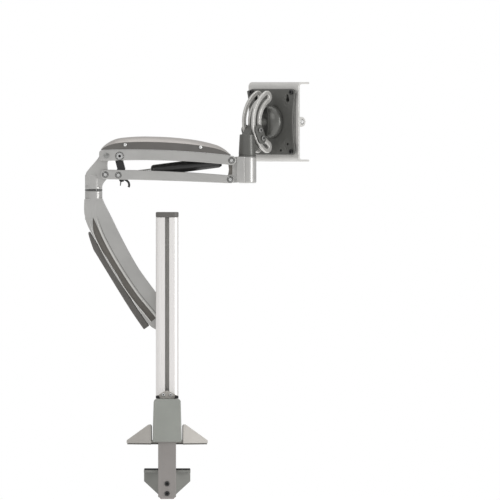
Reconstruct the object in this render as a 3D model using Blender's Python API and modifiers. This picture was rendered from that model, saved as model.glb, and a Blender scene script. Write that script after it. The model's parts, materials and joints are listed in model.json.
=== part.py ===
"""Monitor arm: desk clamp, column, swinging lower arm, sprung parallel upper arm and a tilting, rolling head.

Run with: blender --background --python part.py
World frame: X to the right, Y towards the user's side of the desk, Z up.
The origin is on the desk top under the column's axis. Sizes below are in millimetres and the
helpers turn them into metres.
"""

import math

import bmesh
import bpy
from mathutils import Matrix, Vector

MM = 0.001
GAP = 0.3  # between pieces that touch
ROUND = 32  # sides of a large round piece
SMALL = 12  # sides of a pin or a screw

# Desk clamp
PAD_T = 2.0
JAW_PAD_T = 1.2
FOOT_T = 4.0
FOOT_IN, FOOT_OUT = 27.0, 68.0  # where each wing starts and ends, from the middle
FOOT_HIGH, FOOT_LOW = 34.0, 7.0  # a wing's height at its root and at its tip
EDGE_Y = -34.0  # the plane of the desk's edge
BLOCK_TOP, BLOCK_BOTTOM = 77.0, 5.0
BLOCK_W_TOP, BLOCK_W_BOTTOM = 45.0, 49.0
BLOCK_FRONT, BLOCK_BACK = -46.0, 25.0
STRAP_W, STRAP_T = 30.0, 6.0
STRAP_BOTTOM, STRAP_TOP = -91.0, 42.0
JAW_TOP = -41.0
JAW_W = 39.0
SCREW_Y = -28.0
BOLT_Y = 12.5
SCREW_R = 3.5

# Column
COL_W, COL_D = 38.0, 40.0
COL_FOOT, COL_TOP = 12.0, 381.0  # the column stands in the block from the first on
CAP_T = 8.5
SLOT_W, SLOT_IN_W, SLOT_LIP, SLOT_DEEP = 7.0, 12.0, 2.2, 7.0

# Arms: all of them hang in one vertical plane at rest
ARM_Y = 52.0
BASE_X = 0.0
BOSS_R, BOSS_LOW, BOSS_HIGH = 18.5, 188.0, 248.0
SHAFT_R = 8.0
ELBOW_X = -124.0
ELBOW_R = 14.6
ELBOW_TOP = 424.5
RING_T = 3.0

# Parallel upper arm
LOW_REAR = Vector((-104.3, 0, 452.5))
RISE = Vector((2.2, 0, 32.0))  # from a lower pivot to the upper one over it
REACH = Vector((210.0, 0, -8.2))  # from a rear pivot to the front one
UP_REAR = LOW_REAR + RISE
LOW_FRONT = LOW_REAR + REACH
UP_FRONT = UP_REAR + REACH
STRUT_AT = 0.105  # of the reach, where the black strut joins both links
LOW_STRUT = LOW_REAR + REACH * STRUT_AT
UP_STRUT = UP_REAR + REACH * STRUT_AT
LINK_HALF, LINK_WALL = 23.0, 4.5
LOWER_HALF = 20.0
PIN_R = 3.0
EYE_R = 8.2
UPPER_ENDS, LOWER_ENDS = (9.0, 7.8), (8.0, 6.6)  # half of each link's height at its rear and its front
TAIL = 8.0  # how far the upper link runs on behind its rear pivot

# Gas spring
SPRING_R = 9.5
ROD_R = 4.0

# Head
HEAD_X = 134.4
POST_R = 14.8
TIP_LOW, TIP_HIGH = 440.6, 481.4
POST_LOW, POST_HIGH = 484.4, 520.0
HEAD_Z = 541.0
HEAD_OUT = 58.0  # from the post's axis to the face of the plate
YAW = math.radians(45)
OUT = Vector((math.sin(YAW), math.cos(YAW), 0))  # from the post towards the monitor
SIDE = Vector((math.cos(YAW), -math.sin(YAW), 0))  # along the plate's width
CENTRE = Vector((HEAD_X, ARM_Y, HEAD_Z)) + OUT * HEAD_OUT
RAIL_R, RAIL_HALF, RAIL_T = 47.5, 10.5, 5.0
RAIL_AT = 11.0  # each rail's middle, from the middle of the head
RAIL_END = math.radians(62)
SLOT_HALF = 3.6
CLAMP_AT = math.radians(-26)  # where the tilt clamp holds the rails
PLATE_W, PLATE_H, PLATE_T = 106.0, 111.0, 4.0
BRACKET_W, BRACKET_H, BRACKET_D, SHEET = 120.0, 134.0, 26.0, 3.5
VESA, VESA_SMALL = 100.0, 75.0  # the two standard hole spacings of a monitor's back
SCREW_HALF_W = 47.0
BRACKET_BACK = PLATE_T + GAP  # from the plate's face to the bracket's sheet
LATCH_AT = CENTRE + SIDE * (BRACKET_W / 2 - 9) + OUT * (BRACKET_BACK + 8.4)

# Colours: base colour, roughness, metallic
FINISHES = {
    "silver_paint": ((0.62, 0.61, 0.59), 0.42, 0.35),
    "bright_aluminium": ((0.80, 0.79, 0.77), 0.28, 0.9),
    "pale_paint": ((0.74, 0.73, 0.71), 0.35, 0.15),
    "foot_paint": ((0.46, 0.43, 0.41), 0.4, 0.15),
    "grey_paint": ((0.31, 0.32, 0.29), 0.5, 0.2),
    "strap_paint": ((0.34, 0.32, 0.30), 0.5, 0.2),
    "dark_paint": ((0.10, 0.10, 0.095), 0.45, 0.2),
    "rail_paint": ((0.52, 0.51, 0.49), 0.4, 0.3),
    "grey_plastic": ((0.22, 0.215, 0.20), 0.5, 0.0),
    "black_plastic": ((0.02, 0.02, 0.02), 0.45, 0.0),
    "black_metal": ((0.02, 0.02, 0.02), 0.35, 0.3),
    "black_rubber": ((0.02, 0.02, 0.02), 0.8, 0.0),
    "steel": ((0.70, 0.70, 0.69), 0.3, 1.0),
    "bush_plastic": ((0.75, 0.73, 0.66), 0.5, 0.0),
}

for old in list(bpy.data.objects):
    bpy.data.objects.remove(old, do_unlink=True)


def collection(name):
    made = bpy.data.collections.new(name)
    bpy.context.scene.collection.children.link(made)
    return made


PARTS = collection("monitor_arm")
CUTTERS = collection("cutters")


def material(name):
    """A finish's own material."""
    found = bpy.data.materials.get(name)
    if found:
        return found
    colour, rough, metal = FINISHES[name]
    made = bpy.data.materials.new(name)
    made.use_nodes = True
    shader = made.node_tree.nodes["Principled BSDF"]
    shader.inputs["Base Color"].default_value = (*colour, 1)
    shader.inputs["Roughness"].default_value = rough
    shader.inputs["Metallic"].default_value = metal
    return made


def axis_frame(at, along, across=None):
    """A matrix whose local Z is `along`, local X is `across`, and whose origin is `at`, in metres."""
    z = Vector(along).normalized()
    x = Vector(across) if across is not None else z.orthogonal()
    x = (x - z * x.dot(z)).normalized()
    y = z.cross(x)
    turned = Matrix((x, y, z)).transposed().to_4x4()
    return Matrix.Translation(Vector(at) * MM) @ turned


UP = (0, 0, 1)
ACROSS = (0, 1, 0)


def keep(name, mesh, matrix, finish):
    """Puts a mesh in the scene: a part where it has a finish, otherwise a cutter."""
    made = bpy.data.objects.new(name, mesh)
    made.matrix_world = matrix
    if finish:
        PARTS.objects.link(made)
        mesh.materials.append(material(finish))
    else:
        CUTTERS.objects.link(made)
        made.hide_render = True
        made.display_type = "WIRE"
    return made


def smooth(mesh, angle=35):
    mesh.shade_smooth()
    mesh.set_sharp_from_angle(angle=math.radians(angle))


def from_bmesh(name, shape, matrix, finish):
    mesh = bpy.data.meshes.new(name)
    bmesh.ops.recalc_face_normals(shape, faces=shape.faces)
    shape.to_mesh(mesh)
    shape.free()
    smooth(mesh)
    return keep(name, mesh, matrix, finish)


def rod(name, radius, low, high, matrix, finish=None, sides=ROUND, top_radius=None):
    """A cylinder or a cone along the matrix's own Z, from low to high."""
    shape = bmesh.new()
    bmesh.ops.create_cone(
        shape,
        cap_ends=True,
        segments=sides,
        radius1=radius * MM,
        radius2=(radius if top_radius is None else top_radius) * MM,
        depth=(high - low) * MM,
        matrix=Matrix.Translation((0, 0, (low + high) / 2 * MM)),
    )
    return from_bmesh(name, shape, matrix, finish)


def upright(name, radius, low, high, x, y, finish=None, sides=ROUND):
    """A cylinder standing at x, y from height low to height high."""
    return rod(name, radius, low, high, axis_frame((x, y, 0), UP, (1, 0, 0)), finish, sides)


def block(name, low, high, finish=None, matrix=None):
    """A box between two corners."""
    shape = bmesh.new()
    low, high = Vector(low), Vector(high)
    size = [(b - a) * MM for a, b in zip(low, high)]
    place = Matrix.Translation((low + high) / 2 * MM) @ Matrix.Diagonal((*size, 1))
    bmesh.ops.create_cube(shape, size=1, matrix=place)
    return from_bmesh(name, shape, matrix or Matrix.Identity(4), finish)


def flat(name, outline, thick, matrix, finish=None, middle=0.0):
    """A flat outline in the matrix's XY plane, as thick as given about the height `middle`."""
    curve = bpy.data.curves.new(name, "CURVE")
    curve.dimensions = "2D"
    curve.fill_mode = "BOTH"
    curve.extrude = thick / 2 * MM
    line = curve.splines.new("POLY")
    line.points.add(len(outline) - 1)
    for point, (x, y) in zip(line.points, outline):
        point.co = (x * MM, y * MM, 0, 1)
    line.use_cyclic_u = True
    drawn = bpy.data.objects.new(name, curve)
    bpy.context.scene.collection.objects.link(drawn)
    seen = drawn.evaluated_get(bpy.context.evaluated_depsgraph_get())
    mesh = bpy.data.meshes.new_from_object(seen)
    bpy.data.objects.remove(drawn)
    shape = bmesh.new()
    shape.from_mesh(mesh)
    bpy.data.meshes.remove(mesh)
    bmesh.ops.remove_doubles(shape, verts=shape.verts, dist=1e-6)
    bmesh.ops.translate(shape, verts=shape.verts, vec=(0, 0, middle * MM))
    return from_bmesh(name, shape, matrix, finish)


def turned(name, profile, matrix, finish=None, sides=ROUND):
    """A profile of (radius, height) pairs, from top to bottom on its outer side, turned about Z."""
    mesh = bpy.data.meshes.new(name)
    points = [(r * MM, 0, z * MM) for r, z in profile]
    mesh.from_pydata(points, [(i, i + 1) for i in range(len(points) - 1)], [])
    made = keep(name, mesh, matrix, finish)
    screw = made.modifiers.new("turn", "SCREW")
    screw.axis = "Z"
    screw.steps = screw.render_steps = sides
    screw.use_merge_vertices = True
    screw.merge_threshold = 1e-5
    screw.use_smooth_shade = False
    return made


def arc(cx, cy, radius, start, end, steps):
    """Points on an arc, angles in degrees, both ends included."""
    turn = (end - start) / steps
    angles = [math.radians(start + turn * i) for i in range(steps + 1)]
    return [(cx + radius * math.cos(a), cy + radius * math.sin(a)) for a in angles]


def bevel(made, width, segments=2, angle=40):
    """Rounds a piece's sharp edges."""
    edge = made.modifiers.new("round_edges", "BEVEL")
    edge.width = width * MM
    edge.segments = segments
    edge.limit_method = "ANGLE"
    edge.angle_limit = math.radians(angle)
    return made


def combine(made, operation, *others):
    for other in others:
        change = made.modifiers.new(operation.lower(), "BOOLEAN")
        change.operation = operation
        change.object = other
        change.solver = "EXACT"
    return made


def cut(made, *cutters):
    return combine(made, "DIFFERENCE", *cutters)


def weld(made, *others):
    return combine(made, "UNION", *others)


def side_frame(y=ARM_Y):
    """The vertical plane of the arms: local X is world X, local Y is height, local Z is world -Y."""
    return axis_frame((0, y, 0), (0, -1, 0), (1, 0, 0))


def pin_frame(at, y=ARM_Y):
    """Across the arms at a pivot: local Z is world Y."""
    return axis_frame((at[0], y, at[2]), ACROSS, (1, 0, 0))


def head_frame(side=0.0):
    """The head's vertical plane: local X points from the monitor to the post, local Y is up."""
    return axis_frame(CENTRE + SIDE * side, -SIDE, -OUT)


def face_frame():
    """The plate's plane seen from the post: local X is the width, local Y is up."""
    return axis_frame(CENTRE, -OUT, SIDE)


def on_face(x, y):
    """The plate's frame, moved along the plate."""
    return face_frame() @ Matrix.Translation((x * MM, y * MM, 0))


# ---------------------------------------------------------------- desk clamp


def make_foot():
    """The foot plate with its two wings, and the pad under it."""
    tip_y = EDGE_Y + 20
    half = [(FOOT_IN, EDGE_Y), (FOOT_OUT, tip_y), (FOOT_OUT, 18), (38, 48)]
    outline = [(FOOT_IN, -15), *half, *[(-x, y) for x, y in reversed(half)], (-FOOT_IN, -15)]
    level = axis_frame((0, 0, 0), UP, (1, 0, 0))
    foot = flat("base_foot", outline, FOOT_T, level, "foot_paint", PAD_T + GAP + FOOT_T / 2)
    base = PAD_T + GAP
    for sign, side in ((-1, "left"), (1, "right")):
        along = Vector((sign * (FOOT_OUT - FOOT_IN), tip_y - EDGE_Y, 0))
        place = axis_frame((sign * FOOT_IN, EDGE_Y, 0), along.cross(Vector(UP)), along)
        wing = [(0, base + 1), (along.length, base + 1), (along.length, FOOT_LOW), (0, FOOT_HIGH)]
        thick = 4.0
        gusset = flat(f"wing_{side}", wing, thick, place, None, -sign * (thick / 2 + 0.01))
        weld(foot, gusset)
    cut(foot, upright("foot_bolt_hole", 3.9, -5, 20, 0, BOLT_Y, sides=SMALL))
    pad = flat("foot_pad", outline, PAD_T, level, "black_rubber", PAD_T / 2)
    cut(pad, upright("pad_bolt_hole", 6.8, -5, 20, 0, BOLT_Y, sides=SMALL))
    return foot, pad


def make_block():
    """The casting that holds the column and guides the jaw's strap."""
    top, low = BLOCK_W_TOP / 2, BLOCK_W_BOTTOM / 2
    front = [(-low, BLOCK_BOTTOM), (low, BLOCK_BOTTOM), (top, BLOCK_TOP - 4), (top - 5, BLOCK_TOP)]
    front += [(-top + 5, BLOCK_TOP), (-top, BLOCK_TOP - 4)]
    deep = BLOCK_BACK - BLOCK_FRONT
    made = flat("base_block", front, deep, side_frame(BLOCK_FRONT + deep / 2), "grey_paint")
    bevel(made, 1.2, 1)
    foot_room = PAD_T + GAP + FOOT_T + GAP
    lip = 100.0
    column_w, column_d, strap = COL_W / 2 + GAP, COL_D / 2 + GAP, STRAP_W / 2 + GAP
    holes = [
        block("column_room", (-column_w, -column_d, COL_FOOT), (column_w, column_d, lip)),
        block("strap_room", (-strap, EDGE_Y - STRAP_T - GAP, -lip), (strap, EDGE_Y + GAP, 72)),
        block("nut_room", (-8.6, EDGE_Y - 3, -lip), (8.6, -23.0, 71.8)),
        block("foot_room", (-lip, -15 - GAP, -lip), (lip, lip, foot_room)),
        upright("drive_hole", 3.9, 70, lip, 0, SCREW_Y, sides=SMALL),
        upright("bolt_hole", 3.9, -5, 30, 0, BOLT_Y, sides=SMALL),
    ]
    return cut(made, *holes)


def make_column_key():
    """The peaked plate in front of the column, its screws, and the rubber wedges beside it."""
    y = -COL_D / 2 - GAP
    outline = [(-19, BLOCK_TOP + GAP), (19, BLOCK_TOP + GAP), (19, 81), (0, 91), (-19, 81)]
    plate = bevel(flat("column_key", outline, 3.0, side_frame(y - 1.5), "foot_paint"), 0.5, 1)
    screws = {"left": (-6.2, 0, 83.4), "right": (6.2, 0, 83.4)}
    for side, at in screws.items():
        cut(plate, rod(f"key_hole_{side}", 1.9, -9, 9, pin_frame(at, y - 1.5), sides=SMALL))
    screw = [(0, 1.6), (1.6, 1.5), (2.6, 0.9), (2.7, 0.3), (1.6, 0.29), (1.6, -2.7), (0, -2.7)]
    for side, (x, _, z) in screws.items():
        turned(f"key_screw_{side}", screw, axis_frame((x, y - 3.0, z), (0, -1, 0)), "steel", SMALL)
    half = [(11.5, 1.4), (14, 4.8), (19, 4.8), (19, 0)]
    outline = [*half, *[(-x, z) for x, z in reversed(half)]]
    outline = [(x, BLOCK_TOP + GAP + z) for x, z in outline]
    flat("wedge_pad", outline, 4.0, side_frame(y - 3.0 - GAP - 2.0), "black_rubber")


def make_column():
    """The extruded column, its cap and the bolt that holds it down."""
    half_w, half_d, corner = COL_W / 2, COL_D / 2, 9.0
    outline = []
    for k, (sx, sy) in enumerate(((1, 1), (-1, 1), (-1, -1), (1, -1))):
        centre = (sx * (half_w - corner), sy * (half_d - corner))
        outline += arc(*centre, corner, 90 * k, 90 * k + 90, 6)
        if k in (0, 2):
            outline += [(x * sy, y * sy) for x, y in slot_outline(half_d)]
    level = axis_frame((0, 0, 0), UP, (1, 0, 0))
    low = COL_FOOT + GAP
    made = flat("column", outline, COL_TOP - low, level, "bright_aluminium", (COL_TOP + low) / 2)
    cut(made, upright("column_core", 8.0, 20, 500, 0, 0, sides=24),
        upright("bolt_room", 3.9, 0, 40, 0, BOLT_Y, sides=SMALL))
    outline = [(x * 1.01, y * 1.01) for x, y in column_corners(corner)]
    cap = flat("column_cap", outline, CAP_T, level, "grey_plastic", COL_TOP + GAP + CAP_T / 2)
    bevel(cap, 1.0, 2)
    bolt = [(0, 28), (2.8, 27.4), (3.4, 26), (3.4, PAD_T), (6.2, PAD_T), (6.2, 0.4), (0, 0.4)]
    turned("column_bolt", bolt, axis_frame((0, BOLT_Y, 0), UP), "steel", SMALL)


def column_corners(corner):
    outline = []
    for k, (sx, sy) in enumerate(((1, 1), (-1, 1), (-1, -1), (1, -1))):
        centre = (sx * (COL_W / 2 - corner), sy * (COL_D / 2 - corner))
        outline += arc(*centre, corner, 90 * k, 90 * k + 90, 6)
    return outline


def slot_outline(face):
    """One T-shaped slot, cut in from the face at +Y, walked from +X to -X."""
    w, inner = SLOT_W / 2, SLOT_IN_W / 2
    lip, deep = face - SLOT_LIP, face - SLOT_DEEP
    right = [(w, face), (w, lip), (inner, lip), (inner, deep + 2), (inner - 2, deep)]
    return right + [(-x, y) for x, y in reversed(right)]


def make_jaw():
    """The strap that hangs over the desk's edge, with the jaw, its pad, bolts and nut."""
    half = STRAP_W / 2
    right = [(half - 4, STRAP_BOTTOM), (half, STRAP_BOTTOM + 5), (half, STRAP_TOP)]
    outline = right + [(-x, z) for x, z in reversed(right)]
    mid = EDGE_Y - STRAP_T / 2
    strap = bevel(flat("jaw_strap", outline, STRAP_T, side_frame(mid), "strap_paint"), 0.8, 1)
    bolts = (-65.3, -81.8)
    cut(strap, *[rod(f"strap_hole_{z}", 4.3, -9, 9, pin_frame((0, 0, z), mid), sides=SMALL) for z in bolts])

    back = EDGE_Y + GAP
    floor = JAW_TOP - JAW_PAD_T - GAP
    jaw = block("jaw_bracket", (-JAW_W, back, floor - FOOT_T), (JAW_W, 26, floor), "strap_paint")
    bevel(jaw, 0.8, 1)
    spine = block("jaw_spine", (-half, back, -88), (half, back + 4, floor - 1))
    weld(jaw, spine)
    for sign in (-1, 1):
        along = Vector((sign * (JAW_W - half + 1), 24, 0))
        place = axis_frame((sign * (half - 1), back + 0.2, 0), along.cross(Vector(UP)), along)
        reach = along.length
        wing = [(0, floor - 1), (reach, floor - 1), (reach, -62), (0, -84.4)]
        weld(jaw, flat(f"jaw_wing_{sign}", wing, 4.0, place, None, -sign * 2.01))
    cut(jaw, *[rod(f"jaw_hole_{z}", 3.2, -9, 9, pin_frame((0, 0, z), back + 2), sides=SMALL) for z in bolts])
    pad_low = (-JAW_W + 0.5, back + 1, JAW_TOP - JAW_PAD_T)
    bevel(block("jaw_pad", pad_low, (JAW_W - 0.5, 25, JAW_TOP), "black_rubber"), 0.3, 1)
    profile = [(0, 0.6), (1.9, 0.6), (2.0, 2.3), (3.3, 2.3), (3.9, 1.9)]
    profile += [(3.9, -3.0), (2.9, -3.1), (2.9, -9.0), (0, -9.0)]
    front = EDGE_Y - STRAP_T
    for z, level in zip(bolts, ("upper", "lower")):
        place = axis_frame((0, front - 0.4, z), (0, -1, 0))
        turned(f"jaw_bolt_{level}", profile, place, "black_metal", SMALL)

    nut = block("jaw_nut", (-8, EDGE_Y + GAP, 30), (8, -23.6, 41), "steel")
    cut(bevel(nut, 0.5, 1), upright("nut_hole", SCREW_R + 0.3, 0, 60, 0, SCREW_Y, sides=SMALL))


def make_clamp_screw():
    """The captive screw that draws the strap up, reached through the block's top."""
    profile = [(0, 68.4), (1.8, 68.5), (1.8, 71.4), (4.4, 71.4), (4.8, 71.0), (4.8, 66.0), (SCREW_R, 65.9)]
    profile += [(SCREW_R, 8.6), (SCREW_R - 0.8, 7.6), (0, 7.6)]
    turned("clamp_screw", profile, axis_frame((0, SCREW_Y, 0), UP), "steel", SMALL)


# ---------------------------------------------------------------- column bracket


def make_column_bracket():
    """The carriage on the column's rear slot, with two ears for the lower arm's shaft."""
    y0 = COL_D / 2 + GAP
    low, high, ear = BOSS_LOW - 8.4, BOSS_HIGH + 8.4, 8.0
    half = 17.0
    made = block("column_bracket", (-half, y0, low), (half, y0 + 8.5, high), "grey_paint")
    outline = [(half, y0 + 4), *arc(0, ARM_Y, half, 0, 180, 12), (-half, y0 + 4)]
    level = axis_frame((0, 0, 0), UP, (1, 0, 0))
    ears = [flat(f"ear_{z}", outline, ear, level, None, z) for z in (low + ear / 2, high - ear / 2)]
    weld(made, *ears)
    bevel(made, 1.0, 1)
    cut(made, upright("ear_hole", SHAFT_R + 0.2, 100, 300, 0, ARM_Y))
    z = (BOSS_LOW + BOSS_HIGH) / 2
    cut(made, rod("bracket_hole", 2.9, -9, 9, pin_frame((0, 0, z), y0 + 4), sides=SMALL),
        rod("bracket_sink", 4.9, y0 + 4.5, y0 + 12, pin_frame((0, 0, z), 0), sides=SMALL))
    face = COL_D / 2
    nut = block("slot_nut", (-5.4, face - 4.8, low + 4), (5.4, face - SLOT_LIP - GAP, high - 4), "steel")
    cut(nut, rod("slot_nut_hole", 2.9, -20, 20, pin_frame((0, 0, z), face), sides=SMALL))
    profile = [(0, 1.2), (1.6, 1.2), (1.6, 3.4), (4.2, 3.4), (4.6, 3.0)]
    profile += [(4.6, 0.0), (2.6, -0.1), (2.6, -9.6), (0, -9.6)]
    turned("bracket_screw", profile, axis_frame((0, y0 + 4.8, z), (0, 1, 0)), "steel", SMALL)
    top, bottom = high + 3.6, low - 3.2
    shaft = [(0, top - 0.4), (10.4, top - 0.4), (11.2, top - 1.2)]
    shaft += [(11.2, high + GAP), (SHAFT_R, high + GAP - 0.01)]
    shaft += [(SHAFT_R, bottom), (SHAFT_R - 1, bottom - 1), (0, bottom - 1)]
    turned("pivot_shaft", shaft, axis_frame((0, ARM_Y, 0), UP), "steel")


# ---------------------------------------------------------------- lower arm

# The arm's flank, from the elbow down to the column bracket
UPPER_EDGE = [(-109.6, 413), (-105.4, 403), (-95.2, 383), (-74, 340), (-50, 297), (-29.5, 268),
              (-19, 253), (-19, 244)]
LOWER_EDGE = [(-12, 189), (-30, 199), (-52, 231), (-80, 276), (-108, 322), (-131, 360),
              (-139.4, 386), (-139.6, 411)]


def smooth_line(points, steps):
    """Points along a Catmull-Rom curve through the given ones."""
    out = []
    ends = [points[0], *points, points[-1]]
    for i in range(len(points) - 1):
        a, b, c, d = (Vector(p) for p in ends[i : i + 4])
        for k in range(steps):
            t = k / steps
            bend, twist = 2 * a - 5 * b + 4 * c - d, 3 * b - a - 3 * c + d
            out.append(0.5 * (2 * b + (c - a) * t + bend * t**2 + twist * t**3))
    return [tuple(p) for p in out] + [points[-1]]


def offset_band(points, near, far):
    """The strip that lies between two distances to the left of a line."""
    left, right = [], []
    for i, p in enumerate(points):
        a, b = Vector(points[max(i - 1, 0)]), Vector(points[min(i + 1, len(points) - 1)])
        run = (b - a).normalized()
        normal = Vector((-run.y, run.x))
        left.append(tuple(Vector(p) + normal * far))
        right.append(tuple(Vector(p) + normal * near))
    return right + left[::-1]


def bush(name, inner, outer, low, high, x):
    """A plain sleeve on an upright axis in the plane of the arms."""
    profile = [(inner, high), (outer, high), (outer, low), (inner, low), (inner, high)]
    return turned(name, profile, axis_frame((x, ARM_Y, 0), UP), "bush_plastic")


def make_lower_arm():
    """The cast arm with its two bosses, side grooves, bushes and cable cover."""
    half = 14.0
    outline = smooth_line(UPPER_EDGE, 3) + smooth_line(LOWER_EDGE, 3)
    arm = flat("lower_arm", outline, 2 * half, side_frame(), "silver_paint")
    bevel(arm, 4.0, 1, 50)
    weld(arm, upright("boss_base", BOSS_R, BOSS_LOW, BOSS_HIGH, 0, ARM_Y),
         upright("boss_elbow", ELBOW_R, 376, ELBOW_TOP, ELBOW_X, ARM_Y))
    groove_line = smooth_line([(-30, 213), (-56, 252), (-84, 297), (-110, 341), (-126, 370)], 3)
    groove = offset_band(groove_line, -3.6, 5.2)
    for side in (-1, 1):
        cut(arm, flat(f"groove_{side}", groove, 4.0, side_frame(ARM_Y + side * half)))
    cut(arm, upright("base_bore", 11.4, 100, 300, 0, ARM_Y),
        upright("elbow_bore", 10.4, 390, 500, ELBOW_X, ARM_Y))
    bush("base_bush", SHAFT_R + 0.15, 11.2, BOSS_LOW, BOSS_HIGH, BASE_X)
    bush("elbow_bush", 7.85, 10.2, 393, ELBOW_TOP, ELBOW_X)

    run = smooth_line([(-30, 199 - 0.6), (-52, 230.4), (-80, 275.4), (-108, 321.4), (-130, 357)], 3)
    cover = offset_band(run, 0.5, 11.5)
    made = flat("cable_cover", cover, 22.0, side_frame(), "grey_plastic")
    bevel(made, 2.5, 1, 50)


# ---------------------------------------------------------------- elbow and links


def make_elbow():
    """The yoke that turns on the lower arm and carries both links, with its ring, shaft and pins."""
    ring_low = ELBOW_TOP + GAP
    ring_high, edge = ring_low + RING_T, ELBOW_R + 0.1
    profile = [(8.0, ring_high), (edge, ring_high), (edge, ring_low), (8.0, ring_low), (8.0, ring_high)]
    turned("elbow_ring", profile, axis_frame((ELBOW_X, ARM_Y, 0), UP), "black_plastic")
    low = ring_high + GAP
    up, down = UP_REAR, LOW_REAR
    outline = [(-138.4, low + 8), (-137.4, 453), (-131, 463), (-118, 478), (-112.8, 486.5)]
    outline += arc(up.x, up.z, EYE_R, 150, -75, 10) + [(up.x + 1.8, 474), (down.x + 3.8, 463)]
    outline += arc(down.x, down.z, EYE_R, 70, -75, 7)
    outline += [(-106.5, 439), (-109.8, low + 2)]
    yoke = flat("elbow_yoke", outline, 26.0, side_frame(), "silver_paint")
    bevel(yoke, 2.5, 1, 45)
    weld(yoke, upright("yoke_boss", ELBOW_R, low, 452, ELBOW_X, ARM_Y))
    cut(yoke, upright("yoke_bore", 7.8, 400, 446, ELBOW_X, ARM_Y),
        *pin_holes("yoke_hole", (up, down)))
    shaft = [(0, 445.6), (7.0, 445.6), (7.6, 445), (7.6, 392), (6.6, 391), (0, 391)]
    turned("elbow_shaft", shaft, axis_frame((ELBOW_X, ARM_Y, 0), UP), "steel")


def pin(name, at, half, finish="steel", head=4.6, radius=PIN_R):
    """A pivot pin across the arms with a low round head at each end."""
    flange, low, top = half + 0.25, half + 1.1, half + 1.9
    profile = [(0, top), (head - 0.8, top), (head, low), (head, flange), (radius, flange)]
    profile += [(r, -z) for r, z in reversed(profile)]
    return turned(name, profile, pin_frame(at), finish, SMALL)


def pin_holes(name, places, slack=0.15):
    """A cutter for a pivot pin at each of the places."""
    frames = [pin_frame(p) for p in places]
    return [rod(f"{name}_{i}", PIN_R + slack, -40, 40, frame, sides=SMALL) for i, frame in enumerate(frames)]


def bar_outline(rear, front, above, below, rear_r, front_r, bow, tail=0.0):
    """The side of a link: round at both ends, with an upper and a lower edge that bow."""
    steps = 10
    turn = math.degrees(math.atan2(front.z - rear.z, front.x - rear.x))
    line = []
    for i in range(1, steps):
        t = i / steps
        along = rear + (front - rear) * t
        line.append((along.x, along.z, 4 * t * (1 - t), t))
    top = [(x, z + rear_r + (front_r - rear_r) * t + above * w + bow * w) for x, z, w, t in line]
    bottom = [(x, z - rear_r - (front_r - rear_r) * t - below * w + bow * w) for x, z, w, t in line]
    start = arc(rear.x, rear.z, rear_r, turn + 250, turn + 110, 8)
    if tail:
        corner = rear_r / 2
        start = arc(rear.x - tail, rear.z - rear_r + corner, corner, 270, 180, 4)
        start += arc(rear.x - tail, rear.z + rear_r - corner, corner, 180, 90, 4)
    end = arc(front.x, front.z, front_r, turn + 70, turn - 70, 8)
    return start + top + end + bottom[::-1]


def make_upper_link():
    """The upper link: a channel open at the bottom, with a crowned cover and its screws."""
    outline = bar_outline(UP_REAR, UP_FRONT, 0.2, -0.4, *UPPER_ENDS, 3.6, TAIL)
    link = flat("upper_link", outline, 2 * LINK_HALF, side_frame(), "silver_paint")
    bevel(link, 0.8, 1, 50)
    inner = LINK_HALF - LINK_WALL
    peak = [(x, z - 3.2) for x, z in bar_top(UP_REAR, UP_FRONT, *UPPER_ENDS, 3.8)][1:-1]
    hollow = [(-130, 440), (125, 440), (125, 505), (peak[-1][0], 505), *peak[::-1]]
    hollow += [(peak[0][0], 505), (-130, 505)]
    cut(link, flat("link_room", hollow, 2 * inner, side_frame()))
    cut(link, *pin_holes("upper_hole", (UP_REAR, UP_STRUT, UP_FRONT)))
    return link


def bar_top(rear, front, rear_r, front_r, rise, steps=12):
    """The upper edge of a link, from its rear pivot to its front one."""
    out = []
    for i in range(steps + 1):
        t = i / steps
        along = rear + (front - rear) * t
        out.append((along.x, along.z + rear_r + (front_r - rear_r) * t + rise * 4 * t * (1 - t)))
    return out


# The cover's crown, from its rear to its front
CROWN = [(-111.5, 494.8), (-108, 498.8), (-102, 504.2), (-93, 509.6), (-81, 513.6), (-58, 515.9),
         (-36, 516.5), (-4, 515.6), (24, 513.4), (52, 509.6), (79, 503.2), (94, 496.4), (106.5, 486.2)]


def make_top_cover():
    """The long crowned cover over the upper link."""
    rear, front = CROWN[0][0], CROWN[-1][0]
    edge = bar_top(UP_REAR, UP_FRONT, *UPPER_ENDS, 3.8)
    base = [(rear, edge[0][1]), *edge[1:-1], (front, edge[-1][1] + 0.2)]
    base = [(x, z + 0.5) for x, z in base]
    crown = smooth_line(CROWN, 2)
    outline = base[::-1] + crown
    made = flat("top_cover", outline, 2 * LINK_HALF - 1.0, side_frame(), "grey_plastic")
    bevel(made, 3.2, 2, 50)
    inner = [(x, z - 5.0) for x, z in crown[5:-4]] + [(80, 470), (-92, 480)]
    cut(made, flat("cover_room", inner, 2 * LINK_HALF - 6.0, side_frame()))
    for x, z, end in ((-71, 502.5, "rear"), (56, 498.5, "front")):
        cut(made, rod(f"cover_hole_{end}", 1.9, -40, 40, pin_frame((x, 0, z)), sides=SMALL))
        pin(f"cover_screw_{end}", Vector((x, 0, z)), LINK_HALF - 0.5, "steel", 2.8, 1.6)


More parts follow.
